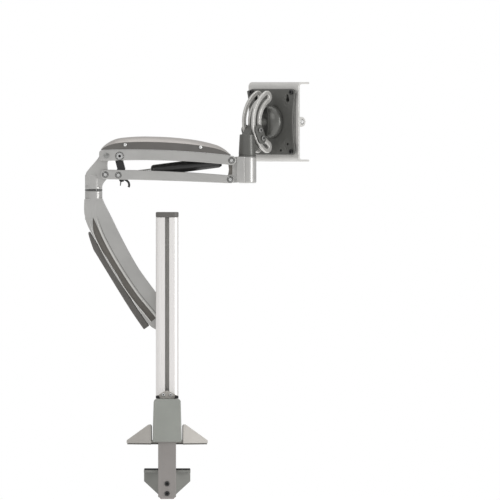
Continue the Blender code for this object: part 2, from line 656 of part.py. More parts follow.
def make_lower_link():
    """The lower link: a channel open at the top, so that the gas spring lies in it."""
    outline = bar_outline(LOW_REAR, LOW_FRONT, 0.6, 0.6, *LOWER_ENDS, 1.6)
    link = flat("lower_link", outline, 2 * LOWER_HALF, side_frame(), "silver_paint")
    bevel(link, 0.8, 1, 50)
    inner = LOWER_HALF - 4.0
    floor = [(x, z + 3.0) for x, z in bar_bottom(LOW_REAR, LOW_FRONT, *LOWER_ENDS, 1.2)]
    hollow = [(-130, 500), (-130, 425), (-6, 425), *floor[6:-3], (66, 425), (125, 425), (125, 500)]
    cut(link, flat("lower_room", hollow, 2 * inner, side_frame()))
    cut(link, *pin_holes("lower_hole", (LOW_REAR, LOW_STRUT, LOW_FRONT)))


def bar_bottom(rear, front, rear_r, front_r, rise, steps=12):
    """The lower edge of a link, from its rear pivot to its front one."""
    out = []
    for i in range(steps + 1):
        t = i / steps
        along = rear + (front - rear) * t
        out.append((along.x, along.z - rear_r - (front_r - rear_r) * t + rise * 4 * t * (1 - t)))
    return out


def make_strut():
    """The black strut between both links, and the cable hook that hangs below."""
    up, down = UP_STRUT, LOW_STRUT
    lean = 2.2
    outline = arc(up.x, up.z, 6.6, 180, 0, 6) + [(up.x + 6.0, up.z - 9), (up.x + 9.4, up.z - 21)]
    outline += arc(down.x + lean, down.z, 7.2, 0, -180, 6) + [(up.x - 4.2, up.z - 21), (up.x - 7.4, up.z - 9)]
    strut = flat("adjuster_strut", outline, 24.0, side_frame(), "black_metal")
    bevel(strut, 1.0, 1, 50)
    cut(strut, *pin_holes("strut_hole", (up, down), 0.2))
    x, z = down.x + 8, down.z
    run = [(-9, -5.5), (-2, -6.6), (4, -8.2), (8.6, -12), (10, -17), (9, -20.5)]
    run = smooth_line([(x + dx, z + dz) for dx, dz in run], 3)
    hook = flat("cable_hook", offset_band(run, -1.8, 1.8), 18.0, side_frame())
    claw = [(-9, -5), (1, -6), (1, -11), (-3.2, -12), (-4.2, -18), (-5.6, -18), (-5.0, -12)]
    weld(strut, hook, flat("hook_claw", [(x + dx, z + dz) for dx, dz in claw], 18.0, side_frame()))
    cut(strut, block("rod_room", (down.x - 20, ARM_Y - 6.4, z - 17), (down.x + 26, ARM_Y + 6.4, z + 13)))


def make_gas_spring():
    """The gas spring's tube, end fitting and rod, from the front upper pivot to the rear lower strut pin."""
    start, end = UP_FRONT.copy(), LOW_STRUT.copy()
    run = end - start
    along = Vector((run.x, 0, run.z)).normalized()
    place = axis_frame((start.x, ARM_Y, start.z), along, (0, 1, 0))
    total = run.length
    far, near = 136.0, 17.0
    tube = [(0, far), (7.0, far), (SPRING_R, far - 3)]
    tube += [(SPRING_R, near + 5), (SPRING_R - 2.5, near), (0, near)]
    made = turned("gas_spring_tube", tube, place, "black_metal", 24)
    cut(made, rod("rod_bore", ROD_R + 0.3, 29, 150, place, sides=SMALL))
    eye = [(0, near - GAP), (4.4, near - GAP), (4.4, 5), (0, 5)]
    fitting = turned("gas_spring_fitting", eye, place, "black_metal", SMALL)
    weld(fitting, rod("fitting_eye", 6.4, -7, 7, pin_frame(start), sides=24))
    cut(fitting, rod("fitting_hole", PIN_R + 0.2, -40, 40, pin_frame(start), sides=SMALL))
    shaft = [(0, total - 11), (ROD_R, total - 11), (ROD_R, 50), (0, 50)]
    turned("gas_spring_rod", shaft, place, "steel", SMALL)


def make_tip():
    """The casting at the front of the links, with the upright bore for the head's post."""
    up, down = UP_FRONT, LOW_FRONT
    outline = arc(up.x, up.z, 6.4, 200, 60, 7)
    outline += [(118, TIP_HIGH), (130, TIP_HIGH), (130, TIP_LOW + 1), (118, TIP_LOW + 1)]
    outline += arc(down.x, down.z, 6.4, -60, -180, 6)
    outline += [(down.x - 4.5, down.z + 10), (down.x + 1.5, down.z + 17)]
    tip = flat("tip_block", outline, 34.0, side_frame(), "silver_paint")
    bevel(tip, 1.0, 1, 50)
    cut(tip, block("fitting_room", (90, ARM_Y - 8.6, down.z + 9), (118, ARM_Y + 8.6, 500)),
        block("tip_waist", (90, ARM_Y + 13, 400), (117, ARM_Y + 30, 500)),
        block("tip_waist_b", (90, ARM_Y - 30, 400), (117, ARM_Y - 13, 500)))
    weld(tip, upright("tip_boss", 15.3, TIP_LOW, TIP_HIGH, HEAD_X, ARM_Y))
    cut(tip, upright("tip_bore", 7.25, TIP_LOW + 5, 500, HEAD_X, ARM_Y), *pin_holes("tip_hole", (up, down)))


# ---------------------------------------------------------------- head


def make_head_post():
    """The turning post, which reaches between the rails, with its ring, shaft and tilt clamp."""
    low = TIP_HIGH + GAP
    post = upright("head_post", POST_R, low, POST_HIGH, HEAD_X, ARM_Y, "dark_paint")
    groove = [(POST_R + 2, low + 4), (POST_R + 2, low + 3), (POST_R - 0.8, low + 3), (POST_R - 0.8, low + 4)]
    cut(post, turned("post_groove", [*groove, groove[0]], axis_frame((HEAD_X, ARM_Y, 0), UP)))
    to_post = HEAD_OUT
    rail_y = RAIL_R * math.sin(CLAMP_AT)
    rail_x = RAIL_R * math.cos(CLAMP_AT)
    foot = POST_LOW - HEAD_Z + 6
    outline = [(to_post + 6, foot), (to_post - 12, foot), (rail_x - 14, rail_y - 15)]
    outline += [(rail_x - 9, rail_y + 14), (rail_x + 8, rail_y + 15), (to_post + 6, POST_HIGH - HEAD_Z)]
    half = RAIL_AT - RAIL_T / 2 - GAP
    tongue = flat("post_tongue", outline, 2 * half, head_frame())
    cut(tongue, rod("bridge_room", RAIL_R - SLOT_HALF - 0.2, -30, 30, head_frame(), sides=64))
    room = flat("rail_room", arc(0, 0, RAIL_R + RAIL_HALF + 0.5, -80, 80, 30) + [(0, 0)], 40.0, head_frame())
    cut(post, room)
    weld(post, tongue)
    cut(post, upright("post_bore", 7.2, 450, 503, HEAD_X, ARM_Y))
    bolts = [CLAMP_AT - math.radians(9), CLAMP_AT + math.radians(9)]
    spots = [(RAIL_R * math.cos(a), RAIL_R * math.sin(a)) for a in bolts]
    for i, (x, y) in enumerate(spots):
        place = head_frame() @ Matrix.Translation((x * MM, y * MM, 0))
        cut(post, rod(f"clamp_hole_{i}", 2.7, -30, 30, place, sides=SMALL))
    floor = TIP_LOW + 5.6
    shaft = [(0, 502.6), (6.6, 502.6), (7.1, 502), (7.1, floor + 1), (6.2, floor), (0, floor)]
    turned("post_shaft", shaft, axis_frame((HEAD_X, ARM_Y, 0), UP), "steel")

    outer = RAIL_AT + RAIL_T / 2 + GAP
    for sign, side in ((-1, "left"), (1, "right")):
        middle = -sign * (outer + 2.0)
        bar = arc(17.0 / 2, 0, 8.6, -90, 90, 6) + arc(-17.0 / 2, 0, 8.6, 90, 270, 6)
        turn = Matrix.Rotation(CLAMP_AT + math.pi / 2, 4, "Z")
        at = Matrix.Translation((RAIL_R * math.cos(CLAMP_AT) * MM, RAIL_R * math.sin(CLAMP_AT) * MM, 0))
        plate = flat(f"tilt_clamp_{side}", bar, 4.0, head_frame() @ at @ turn, "dark_paint", middle)
        for i, (x, y) in enumerate(spots):
            place = head_frame() @ Matrix.Translation((x * MM, y * MM, 0))
            cut(plate, rod(f"plate_hole_{sign}_{i}", 2.7, -30, 30, place, sides=SMALL))
    reach = outer + 4.0
    for name, (x, y) in zip(("tilt_bolt_lower", "tilt_bolt_upper"), spots):
        place = head_frame() @ Matrix.Translation((x * MM, y * MM, 0))
        profile = [(0, reach + 1.6), (1.4, reach + 1.6), (1.6, reach + 2.8)]
        profile += [(3.6, reach + 2.8), (4.2, reach + 2.2)]
        profile += [(4.2, reach + 0.25), (2.4, reach + 0.24), (2.4, -reach - 0.24), (4.2, -reach - 0.25)]
        profile += [(4.2, -reach - 2.4), (3.8, -reach - 2.8), (0, -reach - 2.8)]
        turned(name, profile, place, "steel", SMALL)


def banana(radius, half, reach, steps=14):
    """A curved bar with round ends, about the origin."""
    deg = math.degrees(reach)
    points = arc(0, 0, radius + half, -deg, deg, steps)
    end = (radius * math.cos(reach), radius * math.sin(reach))
    points += arc(*end, half, deg, deg + 180, 6)[1:-1]
    points += arc(0, 0, radius - half, deg, -deg, steps)
    points += arc(end[0], -end[1], half, -deg - 180, -deg, 6)[1:-1]
    return points


def make_tilt_frame():
    """Two slotted rails, the bridge that joins them and the hub that the plate rolls on."""
    for sign, side in ((-1, "left"), (1, "right")):
        place = head_frame(side=sign * RAIL_AT)
        rail = flat(f"tilt_rail_{side}", banana(RAIL_R, RAIL_HALF, RAIL_END), RAIL_T, place, "rail_paint")
        cut(rail, flat(f"rail_slot_{side}", banana(RAIL_R, SLOT_HALF, RAIL_END - 0.02), 20, place))
    half = RAIL_AT - RAIL_T / 2 - GAP
    deg = math.degrees(RAIL_END)
    outline = arc(0, 0, RAIL_R - SLOT_HALF - 1.0, -deg, deg, 16) + arc(0, 0, 33.0, deg, -deg, 16)
    hub = [(0, 34), (7.9, 34), (7.9, 20), (10, 19.6), (18, 17.8), (24.5, 13.6)]
    hub += [(28, 7.6), (28, 1.2), (27, GAP), (0, GAP)]
    made = turned("roll_hub", hub, face_frame(), "dark_paint", 32)
    weld(made, flat("rail_bridge", outline, 2 * half, head_frame()))


def keyhole(name, x, y):
    """A round hole with a narrow slot above it."""
    wide = rod(f"{name}_wide", 3.9, -20, 20, on_face(x, y), sides=SMALL)
    slot = block(f"{name}_slot", (x - 2.1, y - 9, -20), (x + 2.1, y, 20), None, face_frame())
    return [wide, slot]


def screw_places():
    """Where the four screws of the plate sit, in the plate's plane."""
    return [(sx * SCREW_HALF_W, sy * VESA / 2) for sx in (-1, 1) for sy in (-1, 1)]


def corner_holes(name, radius):
    """A cutter for each of the four plate screws."""
    places = enumerate(screw_places())
    return [rod(f"{name}_{i}", radius, -20, 20, on_face(*at), sides=SMALL) for i, at in places]


def make_plate():
    """The head plate with its keyholes and its four screws."""
    w, h, corner = PLATE_W / 2, PLATE_H / 2, 6.0
    outline = []
    for k, (sx, sy) in enumerate(((1, 1), (-1, 1), (-1, -1), (1, -1))):
        outline += arc(sx * (w - corner), sy * (h - corner), corner, 90 * k, 90 * k + 90, 4)
    plate = flat("head_plate", outline, PLATE_T, face_frame(), "dark_paint", -PLATE_T / 2)
    bevel(plate, 1.0, 1, 50)
    inset = VESA_SMALL / 2
    holes = [*keyhole("key_a", inset, inset), *keyhole("key_b", -inset, inset)]
    for i, (x, y) in enumerate(((inset, -inset), (-inset, -inset), (22, -48))):
        holes.append(rod(f"small_hole_{i}", 2.2, -20, 20, on_face(x, y), sides=SMALL))
    cut(plate, *corner_holes("corner_hole", 2.5), *holes)
    profile = [(0, 1.4), (1.3, 1.4), (1.5, 2.6), (3.6, 2.6), (4.2, 2.0)]
    profile += [(4.2, 0.25), (2.1, 0.24), (2.1, -9.5), (0, -9.5)]
    for i, at in enumerate(screw_places()):
        turned(f"plate_screw_{i + 1}", profile, on_face(*at), "black_metal", SMALL)


def make_bracket():
    """The sheet bracket that stays on the monitor, flanged at its top and bottom, with its latch."""
    h, r = BRACKET_H / 2, 5.0
    back = BRACKET_BACK
    outer = [(-back - BRACKET_D, h), *arc(-back - r, h - r, r, 90, 0, 4)]
    outer += [(x, -y) for x, y in reversed(outer)]
    inner = [(-back - BRACKET_D, h - SHEET), *arc(-back - r, h - r, r - SHEET, 90, 0, 4)]
    inner += [(x, -y) for x, y in reversed(inner)]
    bracket = flat("monitor_bracket", outer + inner[::-1], BRACKET_W, head_frame(), "pale_paint")
    ear = axis_frame(LATCH_AT, SIDE, UP)
    weld(bracket, rod("latch_ear", 8.3, 0, 9, ear, sides=24))
    cut(bracket, *corner_holes("bracket_corner_hole", 2.5), rod("latch_bore", 4.6, -4, 20, ear, sides=SMALL))
    latch = [(0, 7.8), (0.9, 7.8), (1.1, 8.9), (3.6, 8.9), (4.2, 8.4), (4.2, -1.2), (0, -1.2)]
    turned("latch_screw", latch, ear, "steel", 20)


# ---------------------------------------------------------------- joints

# Each joint: where its axis passes, which way it points, and the pieces that move with it
LINK_TURN = (0, -1, 0)  # turning by this axis lifts the front of a link
MOVING = {
    "jaw_slide": ((0, SCREW_Y, 0), UP, "jaw_strap jaw_bracket jaw_pad jaw_bolt_upper jaw_bolt_lower jaw_nut"),
    "clamp_screw_turn": ((0, SCREW_Y, 0), UP, "clamp_screw"),
    "carriage_slide": ((0, ARM_Y, 0), UP, "column_bracket slot_nut bracket_screw pivot_shaft"),
    "arm_swing": ((BASE_X, ARM_Y, BOSS_LOW), UP, "lower_arm base_bush elbow_bush cable_cover"),
    "elbow_swing": ((ELBOW_X, ARM_Y, ELBOW_TOP), UP,
                    "elbow_ring elbow_yoke elbow_shaft rear_upper_pin rear_lower_pin"),
    "lift": (UP_REAR, LINK_TURN,
             "upper_link top_cover cover_screw_rear cover_screw_front front_upper_pin adjuster_bolt"),
    "lower_link_turn": (LOW_REAR, LINK_TURN, "lower_link front_lower_pin strut_lower_pin"),
    "strut_turn": (LOW_STRUT, LINK_TURN, "adjuster_strut"),
    "spring_tube_turn": (UP_FRONT, LINK_TURN, "gas_spring_tube gas_spring_fitting"),
    "spring_rod_slide": (UP_FRONT, LOW_STRUT - UP_FRONT, "gas_spring_rod"),
    "tip_level": (UP_FRONT, LINK_TURN, "tip_block"),
    "head_swivel": ((HEAD_X, ARM_Y, POST_LOW), UP,
                    "head_post post_shaft tilt_clamp_left tilt_clamp_right tilt_bolt_lower tilt_bolt_upper"),
    "tilt": (CENTRE, SIDE, "tilt_rail_left tilt_rail_right roll_hub"),
    "roll": (CENTRE, OUT, "head_plate monitor_bracket plate_screw_1 plate_screw_2 plate_screw_3 plate_screw_4"),
    "latch_turn": (LATCH_AT, SIDE, "latch_screw"),
}
HUNG_FROM = {
    "arm_swing": "carriage_slide", "elbow_swing": "arm_swing", "lift": "elbow_swing",
    "lower_link_turn": "elbow_swing", "strut_turn": "lower_link_turn", "spring_tube_turn": "lift",
    "spring_rod_slide": "spring_tube_turn", "tip_level": "lift", "head_swivel": "tip_level", "tilt": "head_swivel",
    "roll": "tilt", "latch_turn": "roll",
}


def hang_from(parent, child):
    """Parents one object to another and leaves it where it is."""
    child.parent = parent
    child.matrix_parent_inverse = parent.matrix_world.inverted()


def hang_all():
    """Gives each joint an empty on its axis, in one tree, that carries the pieces that move with it."""
    for joint, (at, along, names) in MOVING.items():
        at = Vector(at)
        if not at.y:
            at.y = ARM_Y
        empty = bpy.data.objects.new(joint, None)
        PARTS.objects.link(empty)
        empty.matrix_world = axis_frame(at, along)
        bpy.context.view_layer.update()
        for name in names.split():
            hang_from(empty, bpy.data.objects[name])
    for joint, parent in HUNG_FROM.items():
        hang_from(bpy.data.objects[parent], bpy.data.objects[joint])


def main():
    make_foot()
    make_block()
    make_column_key()
    make_column()
    make_jaw()
    make_clamp_screw()
    make_column_bracket()
    make_lower_arm()
    make_elbow()
    make_upper_link()
    make_top_cover()
    make_lower_link()
    make_strut()
    make_gas_spring()
    make_tip()
    make_head_post()
    make_tilt_frame()
    make_plate()
    make_bracket()
    pin("rear_upper_pin", UP_REAR, LINK_HALF)
    pin("front_upper_pin", UP_FRONT, LINK_HALF)
    pin("rear_lower_pin", LOW_REAR, LOWER_HALF)
    pin("front_lower_pin", LOW_FRONT, LOWER_HALF)
    pin("strut_lower_pin", LOW_STRUT, LOWER_HALF)
    pin("adjuster_bolt", UP_STRUT, LINK_HALF, "steel", 6.2)
    hang_all()


main()
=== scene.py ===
"""Monitor arm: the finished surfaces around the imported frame.

Lengths are in millimetres and the helpers turn them into metres. Places come from the frame: its joints'
pivots and its nodes' boxes. Each piece is modelled where it rests, then rides on its node's body.
"""

import json
import math

import bmesh
import bpy
from mathutils import Matrix, Vector


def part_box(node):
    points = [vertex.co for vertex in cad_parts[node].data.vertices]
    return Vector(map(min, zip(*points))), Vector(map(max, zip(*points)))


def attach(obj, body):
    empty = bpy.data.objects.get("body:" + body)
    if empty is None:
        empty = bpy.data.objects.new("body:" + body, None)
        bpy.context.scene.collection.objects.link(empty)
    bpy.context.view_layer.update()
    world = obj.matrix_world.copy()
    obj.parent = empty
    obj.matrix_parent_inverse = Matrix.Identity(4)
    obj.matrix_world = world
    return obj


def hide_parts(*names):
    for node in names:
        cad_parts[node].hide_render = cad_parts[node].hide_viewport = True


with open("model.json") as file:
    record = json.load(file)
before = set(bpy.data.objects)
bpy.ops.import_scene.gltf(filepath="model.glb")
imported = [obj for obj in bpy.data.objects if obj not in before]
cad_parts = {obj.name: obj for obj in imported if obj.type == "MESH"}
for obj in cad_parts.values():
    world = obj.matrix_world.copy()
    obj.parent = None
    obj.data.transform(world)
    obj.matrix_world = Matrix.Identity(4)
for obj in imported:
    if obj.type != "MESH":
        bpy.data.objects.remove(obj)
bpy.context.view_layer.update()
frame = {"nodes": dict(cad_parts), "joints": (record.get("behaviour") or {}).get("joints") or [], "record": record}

MM = 0.001
ROUND = 96  # sides of a large round piece
FINE = 40  # sides of a pin or a screw
UP = (0, 0, 1)
GAP = 0.3  # clearance between neighbouring pieces

PIVOT = {j["name"]: Vector(j["pos_m"]) / MM for j in frame["joints"] if "pos_m" in j}
AXIS = {j["name"]: Vector(j["axis"]).normalized() for j in frame["joints"]}
BODY_OF = {n: body for body, nodes in frame["record"]["behaviour"]["bodies"].items() for n in nodes}
SLOT_OF = {part["node"]: part["material_slot"] for part in frame["record"]["subparts"]}


def node_box(node):
    """A node's lowest and highest corners, in millimetres."""
    low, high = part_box(node)
    return low / MM, high / MM


def node_centre(node):
    """The middle of a node's box."""
    low, high = node_box(node)
    return (low + high) / 2


UP_REAR, LOW_REAR = PIVOT["lift"], PIVOT["lower_link_turn"]
UP_FRONT, LOW_STRUT = PIVOT["tip_level"], PIVOT["strut_turn"]
REACH = UP_FRONT - UP_REAR
LOW_FRONT = LOW_REAR + REACH
UP_STRUT = LOW_STRUT + UP_REAR - LOW_REAR
ARM_Y = UP_REAR.y
ELBOW_X = PIVOT["elbow_swing"].x
HEAD_X = PIVOT["head_swivel"].x
CENTRE, SIDE, OUT = PIVOT["tilt"], AXIS["tilt"], AXIS["roll"]
LATCH_AT = PIVOT["latch_turn"]
SCREW_Y = PIVOT["clamp_screw_turn"].y


# ---- finishes


def fill(node, **values):
    """Sets a node's inputs; an underscore in a name stands for a space."""
    for key, value in values.items():
        node.inputs[key.replace("_", " ")].default_value = value


class Nodes:
    """A short way to wire a material's nodes."""

    def __init__(self, name):
        self.material = bpy.data.materials.new(name)
        self.material.use_nodes = True
        self.tree = self.material.node_tree
        self.shader = self.tree.nodes["Principled BSDF"]
        self.place = self.add("ShaderNodeTexCoord").outputs["Object"]

    def add(self, kind, **values):
        node = self.tree.nodes.new(kind)
        fill(node, **values)
        return node

    def link(self, source, target):
        self.tree.links.new(source, target)

    def noise(self, scale, detail=3.0, stretch=(1, 1, 1), rough=0.5):
        """Noise over the object's own metres, stretched along an axis where a number is small."""
        mapping = self.add("ShaderNodeMapping", Scale=stretch)
        self.link(self.place, mapping.inputs["Vector"])
        noise = self.add("ShaderNodeTexNoise", Scale=scale, Detail=detail, Roughness=rough)
        self.link(mapping.outputs["Vector"], noise.inputs["Vector"])
        return noise.outputs["Fac"]

    def ramp(self, source, low, high, start=0.3, end=0.7):
        """Two colours across a stretch of the source."""
        ramp = self.add("ShaderNodeValToRGB")
        for stop, at, colour in zip(ramp.color_ramp.elements, (start, end), (low, high)):
            stop.position = at
            stop.color = (*colour, 1)
        self.link(source, ramp.inputs["Fac"])
        return ramp.outputs["Color"]

    def span(self, source, low, high):
        """Maps 0.3 to 0.7 of the source onto low to high."""
        span = self.add("ShaderNodeMapRange", From_Min=0.3, From_Max=0.7, To_Min=low, To_Max=high)
        self.link(source, span.inputs["Value"])
        return span.outputs["Result"]

    def surface(self, tone, rough, metal, relief, height, strength=0.5):
        """The finish: its colour, roughness, share of metal and relief, with a height in millimetres."""
        self.link(tone, self.shader.inputs["Base Color"])
        self.link(rough, self.shader.inputs["Roughness"])
        bump = self.add("ShaderNodeBump", Strength=strength, Distance=height * MM)
        self.link(relief, bump.inputs["Height"])
        self.link(bump.outputs["Normal"], self.shader.inputs["Normal"])
        fill(self.shader, Metallic=metal)
        return self.material


def shade(colour, factor):
    """The same colour, lighter or darker."""
    return tuple(min(1.0, c * factor) for c in colour)


def paint(name, colour, rough, metal, peel=0.03, coat=0.0):
    """Sprayed paint: a slow drift of tone, an orange-peel surface and a little metal flake."""
    n = Nodes(name)
    flakes, drift = n.noise(2600, 2.0), n.noise(26)
    mixed = n.add("ShaderNodeMath")
    mixed.operation = "MULTIPLY_ADD"
    n.link(flakes, mixed.inputs[0])
    mixed.inputs[1].default_value = 0.35  # the flakes' share
    n.link(drift, mixed.inputs[2])
    tone = n.ramp(mixed.outputs[0], shade(colour, 0.95), shade(colour, 1.05), 0.45, 0.9)
    fill(n.shader, Coat_Weight=coat, Coat_Roughness=0.25)
    return n.surface(tone, n.span(n.noise(160), rough - 0.04, rough + 0.05), metal, n.noise(900, 2.0), peel)


def drawn_metal(name, colour, rough, metal):
    """Extruded metal with fine upright lines."""
    n = Nodes(name)
    lines = n.noise(1500, 4.0, (1.0, 1.0, 0.006), 0.6)
    tone = n.ramp(lines, shade(colour, 0.97), shade(colour, 1.03))
    return n.surface(tone, n.span(lines, rough - 0.04, rough + 0.06), metal, lines, 0.004)


def plated(name, colour, rough):
    """Zinc or nickel plate: bright, with faint tarnish."""
    n = Nodes(name)
    tone = n.ramp(n.noise(240, 4.0), shade(colour, 0.9), colour)
    return n.surface(tone, n.span(n.noise(900), rough - 0.05, rough + 0.08), 1.0, n.noise(1800, 2.0), 0.004)


def moulded(name, colour, rough, grain=0.02, scale=1400):
    """Moulded plastic with a fine spark-eroded grain."""
    n = Nodes(name)
    tone = n.ramp(n.noise(40), shade(colour, 0.93), shade(colour, 1.07))
    spots = n.noise(scale, rough=0.65)
    return n.surface(tone, n.span(spots, rough - 0.06, rough + 0.06), 0.0, spots, grain, 0.6)


# Each finish's colour and roughness, then a paint's share of metal, its relief and its clear coat
PAINTS = {
    "silver_paint": ((0.50, 0.495, 0.48), 0.33, 0.6),
    "pale_paint": ((0.66, 0.65, 0.625), 0.32, 0.3),
    "grey_paint": ((0.29, 0.30, 0.275), 0.5, 0.15),
    "foot_paint": ((0.44, 0.42, 0.39), 0.42, 0.15),
    "strap_paint": ((0.28, 0.262, 0.25), 0.46, 0.2),
    "dark_paint": ((0.135, 0.135, 0.126), 0.34, 0.35),
    "rail_paint": ((0.62, 0.61, 0.585), 0.3, 0.55),
    "black_metal": ((0.016, 0.016, 0.016), 0.36, 0.0, 0.015, 0.3),
    # the cover's crowned top, lighter than its flanks: painted light from above
    "crown": ((0.46, 0.433, 0.41), 0.34, 0.45),
    # grey for the column's slot and edge lines: painted shade
    "painted_column_shade": ((0.40, 0.39, 0.37), 0.5, 0.3),
    # dark for the arm's groove and the tip's web: painted shade
    "groove": ((0.15, 0.14, 0.125), 0.45, 0.3),
    # pale for the ribs beside the arm's groove: painted highlight on their edges
    "ridge": ((0.72, 0.71, 0.68), 0.3, 0.5),
    # darker grey for the jaw under the desk: painted shade
    "jaw": ((0.215, 0.216, 0.2), 0.42, 0.3),
    # near black for rings around pins and bolts: painted shade in the gaps
    "seat": ((0.05, 0.05, 0.045), 0.5, 0.2),
}
# and a moulding's relief with the scale of its grain
MOULDINGS = {
    "grey_plastic": ((0.125, 0.119, 0.111), 0.42),
    "black_plastic": ((0.085, 0.085, 0.08), 0.45),
    "black_rubber": ((0.018, 0.018, 0.018), 0.75, 0.05, 800),
    "bush_plastic": ((0.72, 0.70, 0.62), 0.5),
    "foot_pad": ((0.17, 0.165, 0.155), 0.7, 0.05, 800),
    # near black for sockets, rings and the spots behind the plate's holes: painted shade
    "painted_recess_shade": ((0.012, 0.012, 0.012), 0.6),
}
FINISHES = {
    "bright_aluminium": drawn_metal("bright_aluminium", (0.93, 0.905, 0.885), 0.3, 0.55),
    "steel": plated("steel", (0.80, 0.80, 0.79), 0.24),
    "dull_steel": plated("dull_steel", (0.34, 0.34, 0.33), 0.36),
}
FINISHES.update({name: paint(name, *look) for name, look in PAINTS.items()})
FINISHES.update({name: moulded(name, *look) for name, look in MOULDINGS.items()})


# ---- modelling helpers

PIECES = []
CUTTERS = []


def axis_frame(at, along, across=None):
    """A matrix whose local Z is `along`, local X is `across`, and whose origin is `at`, in millimetres."""
    z = Vector(along).normalized()
    x = Vector(across) if across is not None else z.orthogonal()
    x = (x - z * x.dot(z)).normalized()
    turned_to = Matrix((x, z.cross(x), z)).transposed().to_4x4()
    return Matrix.Translation(Vector(at) * MM) @ turned_to


def side_frame(y=ARM_Y):
    """The vertical plane of the arms: local X is world X, local Y is height, local Z is world -Y."""
    return axis_frame((0, y, 0), (0, -1, 0), (1, 0, 0))


def pin_frame(at, y=ARM_Y):
    """Across the arms at a pivot: local Z is world Y."""
    return axis_frame((at[0], y, at[2]), (0, 1, 0), (1, 0, 0))


def level_frame(x=0.0, y=0.0):
    """Standing at x, y: local Z is up."""
    return axis_frame((x, y, 0), UP, (1, 0, 0))


AT_COLUMN, AT_ELBOW, AT_HEAD = (level_frame(x, ARM_Y) for x in (0, ELBOW_X, HEAD_X))


def head_frame(side=0.0):
    """The head's vertical plane: local X points from the monitor to the post, local Y is up."""
    return axis_frame(CENTRE + SIDE * side, -SIDE, -OUT)


# The plate's plane seen from the post: local X is the width, local Y is up
FACE = axis_frame(CENTRE, -OUT, SIDE)


def shifted(matrix, x, y, z=0.0):
    """The same frame, moved along its own axes."""
    return matrix @ Matrix.Translation((x * MM, y * MM, z * MM))


def add_object(name, data):
    """Puts an object into the scene."""
    made = bpy.data.objects.new(name, data)
    bpy.context.scene.collection.objects.link(made)
    return made


def add_mesh(name, shape):
    """Puts a shape into the scene as it is."""
    mesh = bpy.data.meshes.new(name)
    shape.to_mesh(mesh)
    shape.free()
    return add_object(name, mesh)


def keep(name, shape, matrix):
    """Puts a shape in the scene: the finished form of the CAD node of that name, or else a cutter."""
    finished = name in SLOT_OF
    bmesh.ops.recalc_face_normals(shape, faces=shape.faces)
    made = add_mesh(f"{name}_finished" if finished else name, shape)
    made.matrix_world = matrix
    if finished:
        made["node"] = name
        PIECES.append(made)
        made.data.materials.append(FINISHES[SLOT_OF[name]])
    else:
        CUTTERS.append(made)
        made.hide_render = True
    return made


def prism(name, outline, thick, matrix, middle=0.0):
    """A flat outline in the matrix's XY plane, as thick as given about the height `middle`."""
    shape = bmesh.new()
    low, high = (middle - thick / 2) * MM, (middle + thick / 2) * MM
    floor = [shape.verts.new((x * MM, y * MM, low)) for x, y in outline]
    roof = [shape.verts.new((x * MM, y * MM, high)) for x, y in outline]
    shape.faces.new(floor)
    shape.faces.new(roof)
    for i in range(len(outline)):
        k = (i + 1) % len(outline)
        shape.faces.new((floor[i], floor[k], roof[k], roof[i]))
    return keep(name, shape, matrix)


def block(name, low, high):
    """A box between two corners."""
    outline = [(low[0], low[1]), (high[0], low[1]), (high[0], high[1]), (low[0], high[1])]
    middle = (low[2] + high[2]) / 2
    return prism(name, outline, high[2] - low[2], Matrix.Identity(4), middle)


ON_AXIS = 1e-6  # a smaller radius is a point on the axis


def turned(name, profile, matrix, sides=ROUND):
    """A profile of (radius, height) pairs turned about the matrix's Z."""
    shape = bmesh.new()
    angles = [2 * math.pi * i / sides for i in range(sides)]
    around = [(math.cos(a), math.sin(a)) for a in angles]
    rings = []
    for radius, height in profile:
        if radius < ON_AXIS:
            rings.append([shape.verts.new((0, 0, height * MM))])
            continue
        ring = [(radius * x * MM, radius * y * MM, height * MM) for x, y in around]
        rings.append([shape.verts.new(at) for at in ring])
    if profile[0] == profile[-1] and len(rings[0]) > 1:
        for vert in rings.pop():
            shape.verts.remove(vert)
        rings.append(rings[0])
    for above, below in zip(rings, rings[1:]):
        if len(above) == len(below) == 1:
            continue
        for i in range(sides):
            k = (i + 1) % sides
            if len(above) == 1:
                corners = (above[0], below[i], below[k])
            else:
                corners = (above[i], above[k], *((below[k], below[i]) if len(below) > 1 else below))
            shape.faces.new(corners)
    return keep(name, shape, matrix)


def rod(name, radius, low, high, matrix, sides=ROUND):
    """A cylinder along the matrix's own Z."""
    return turned(name, [(0, high), (radius, high), (radius, low), (0, low)], matrix, sides)


def drum(name, radius, low, high, matrix, corner, steps=4, sides=ROUND):
    """A cylinder whose rims are rounded."""
    side = [(0, high), (radius, high), (radius, low), (0, low)]
    return turned(name, rounded(side, corner, steps), matrix, sides)


def hole(name, radius, low, high, matrix):
    """A rod as fine as a pin, for small bores."""
    return rod(name, radius, low, high, matrix, FINE)


def bores(name, radius, reach, place, spots):
    """Round cutters through a plane, one at each spot in it."""
    return [hole(name, radius, -reach, reach, shifted(place, *spot)) for spot in spots]


def upright(node, outline):
    """A flat piece seen from the front, as deep as its node's box."""
    low, high = node_box(node)
    return prism(node, outline, high.y - low.y, side_frame((low.y + high.y) / 2))


def mirrored(half, x_sign=-1, y_sign=1):
    """A line, then its mirror image run backwards."""
    return [*half, *[(x_sign * x, y_sign * y) for x, y in reversed(half)]]


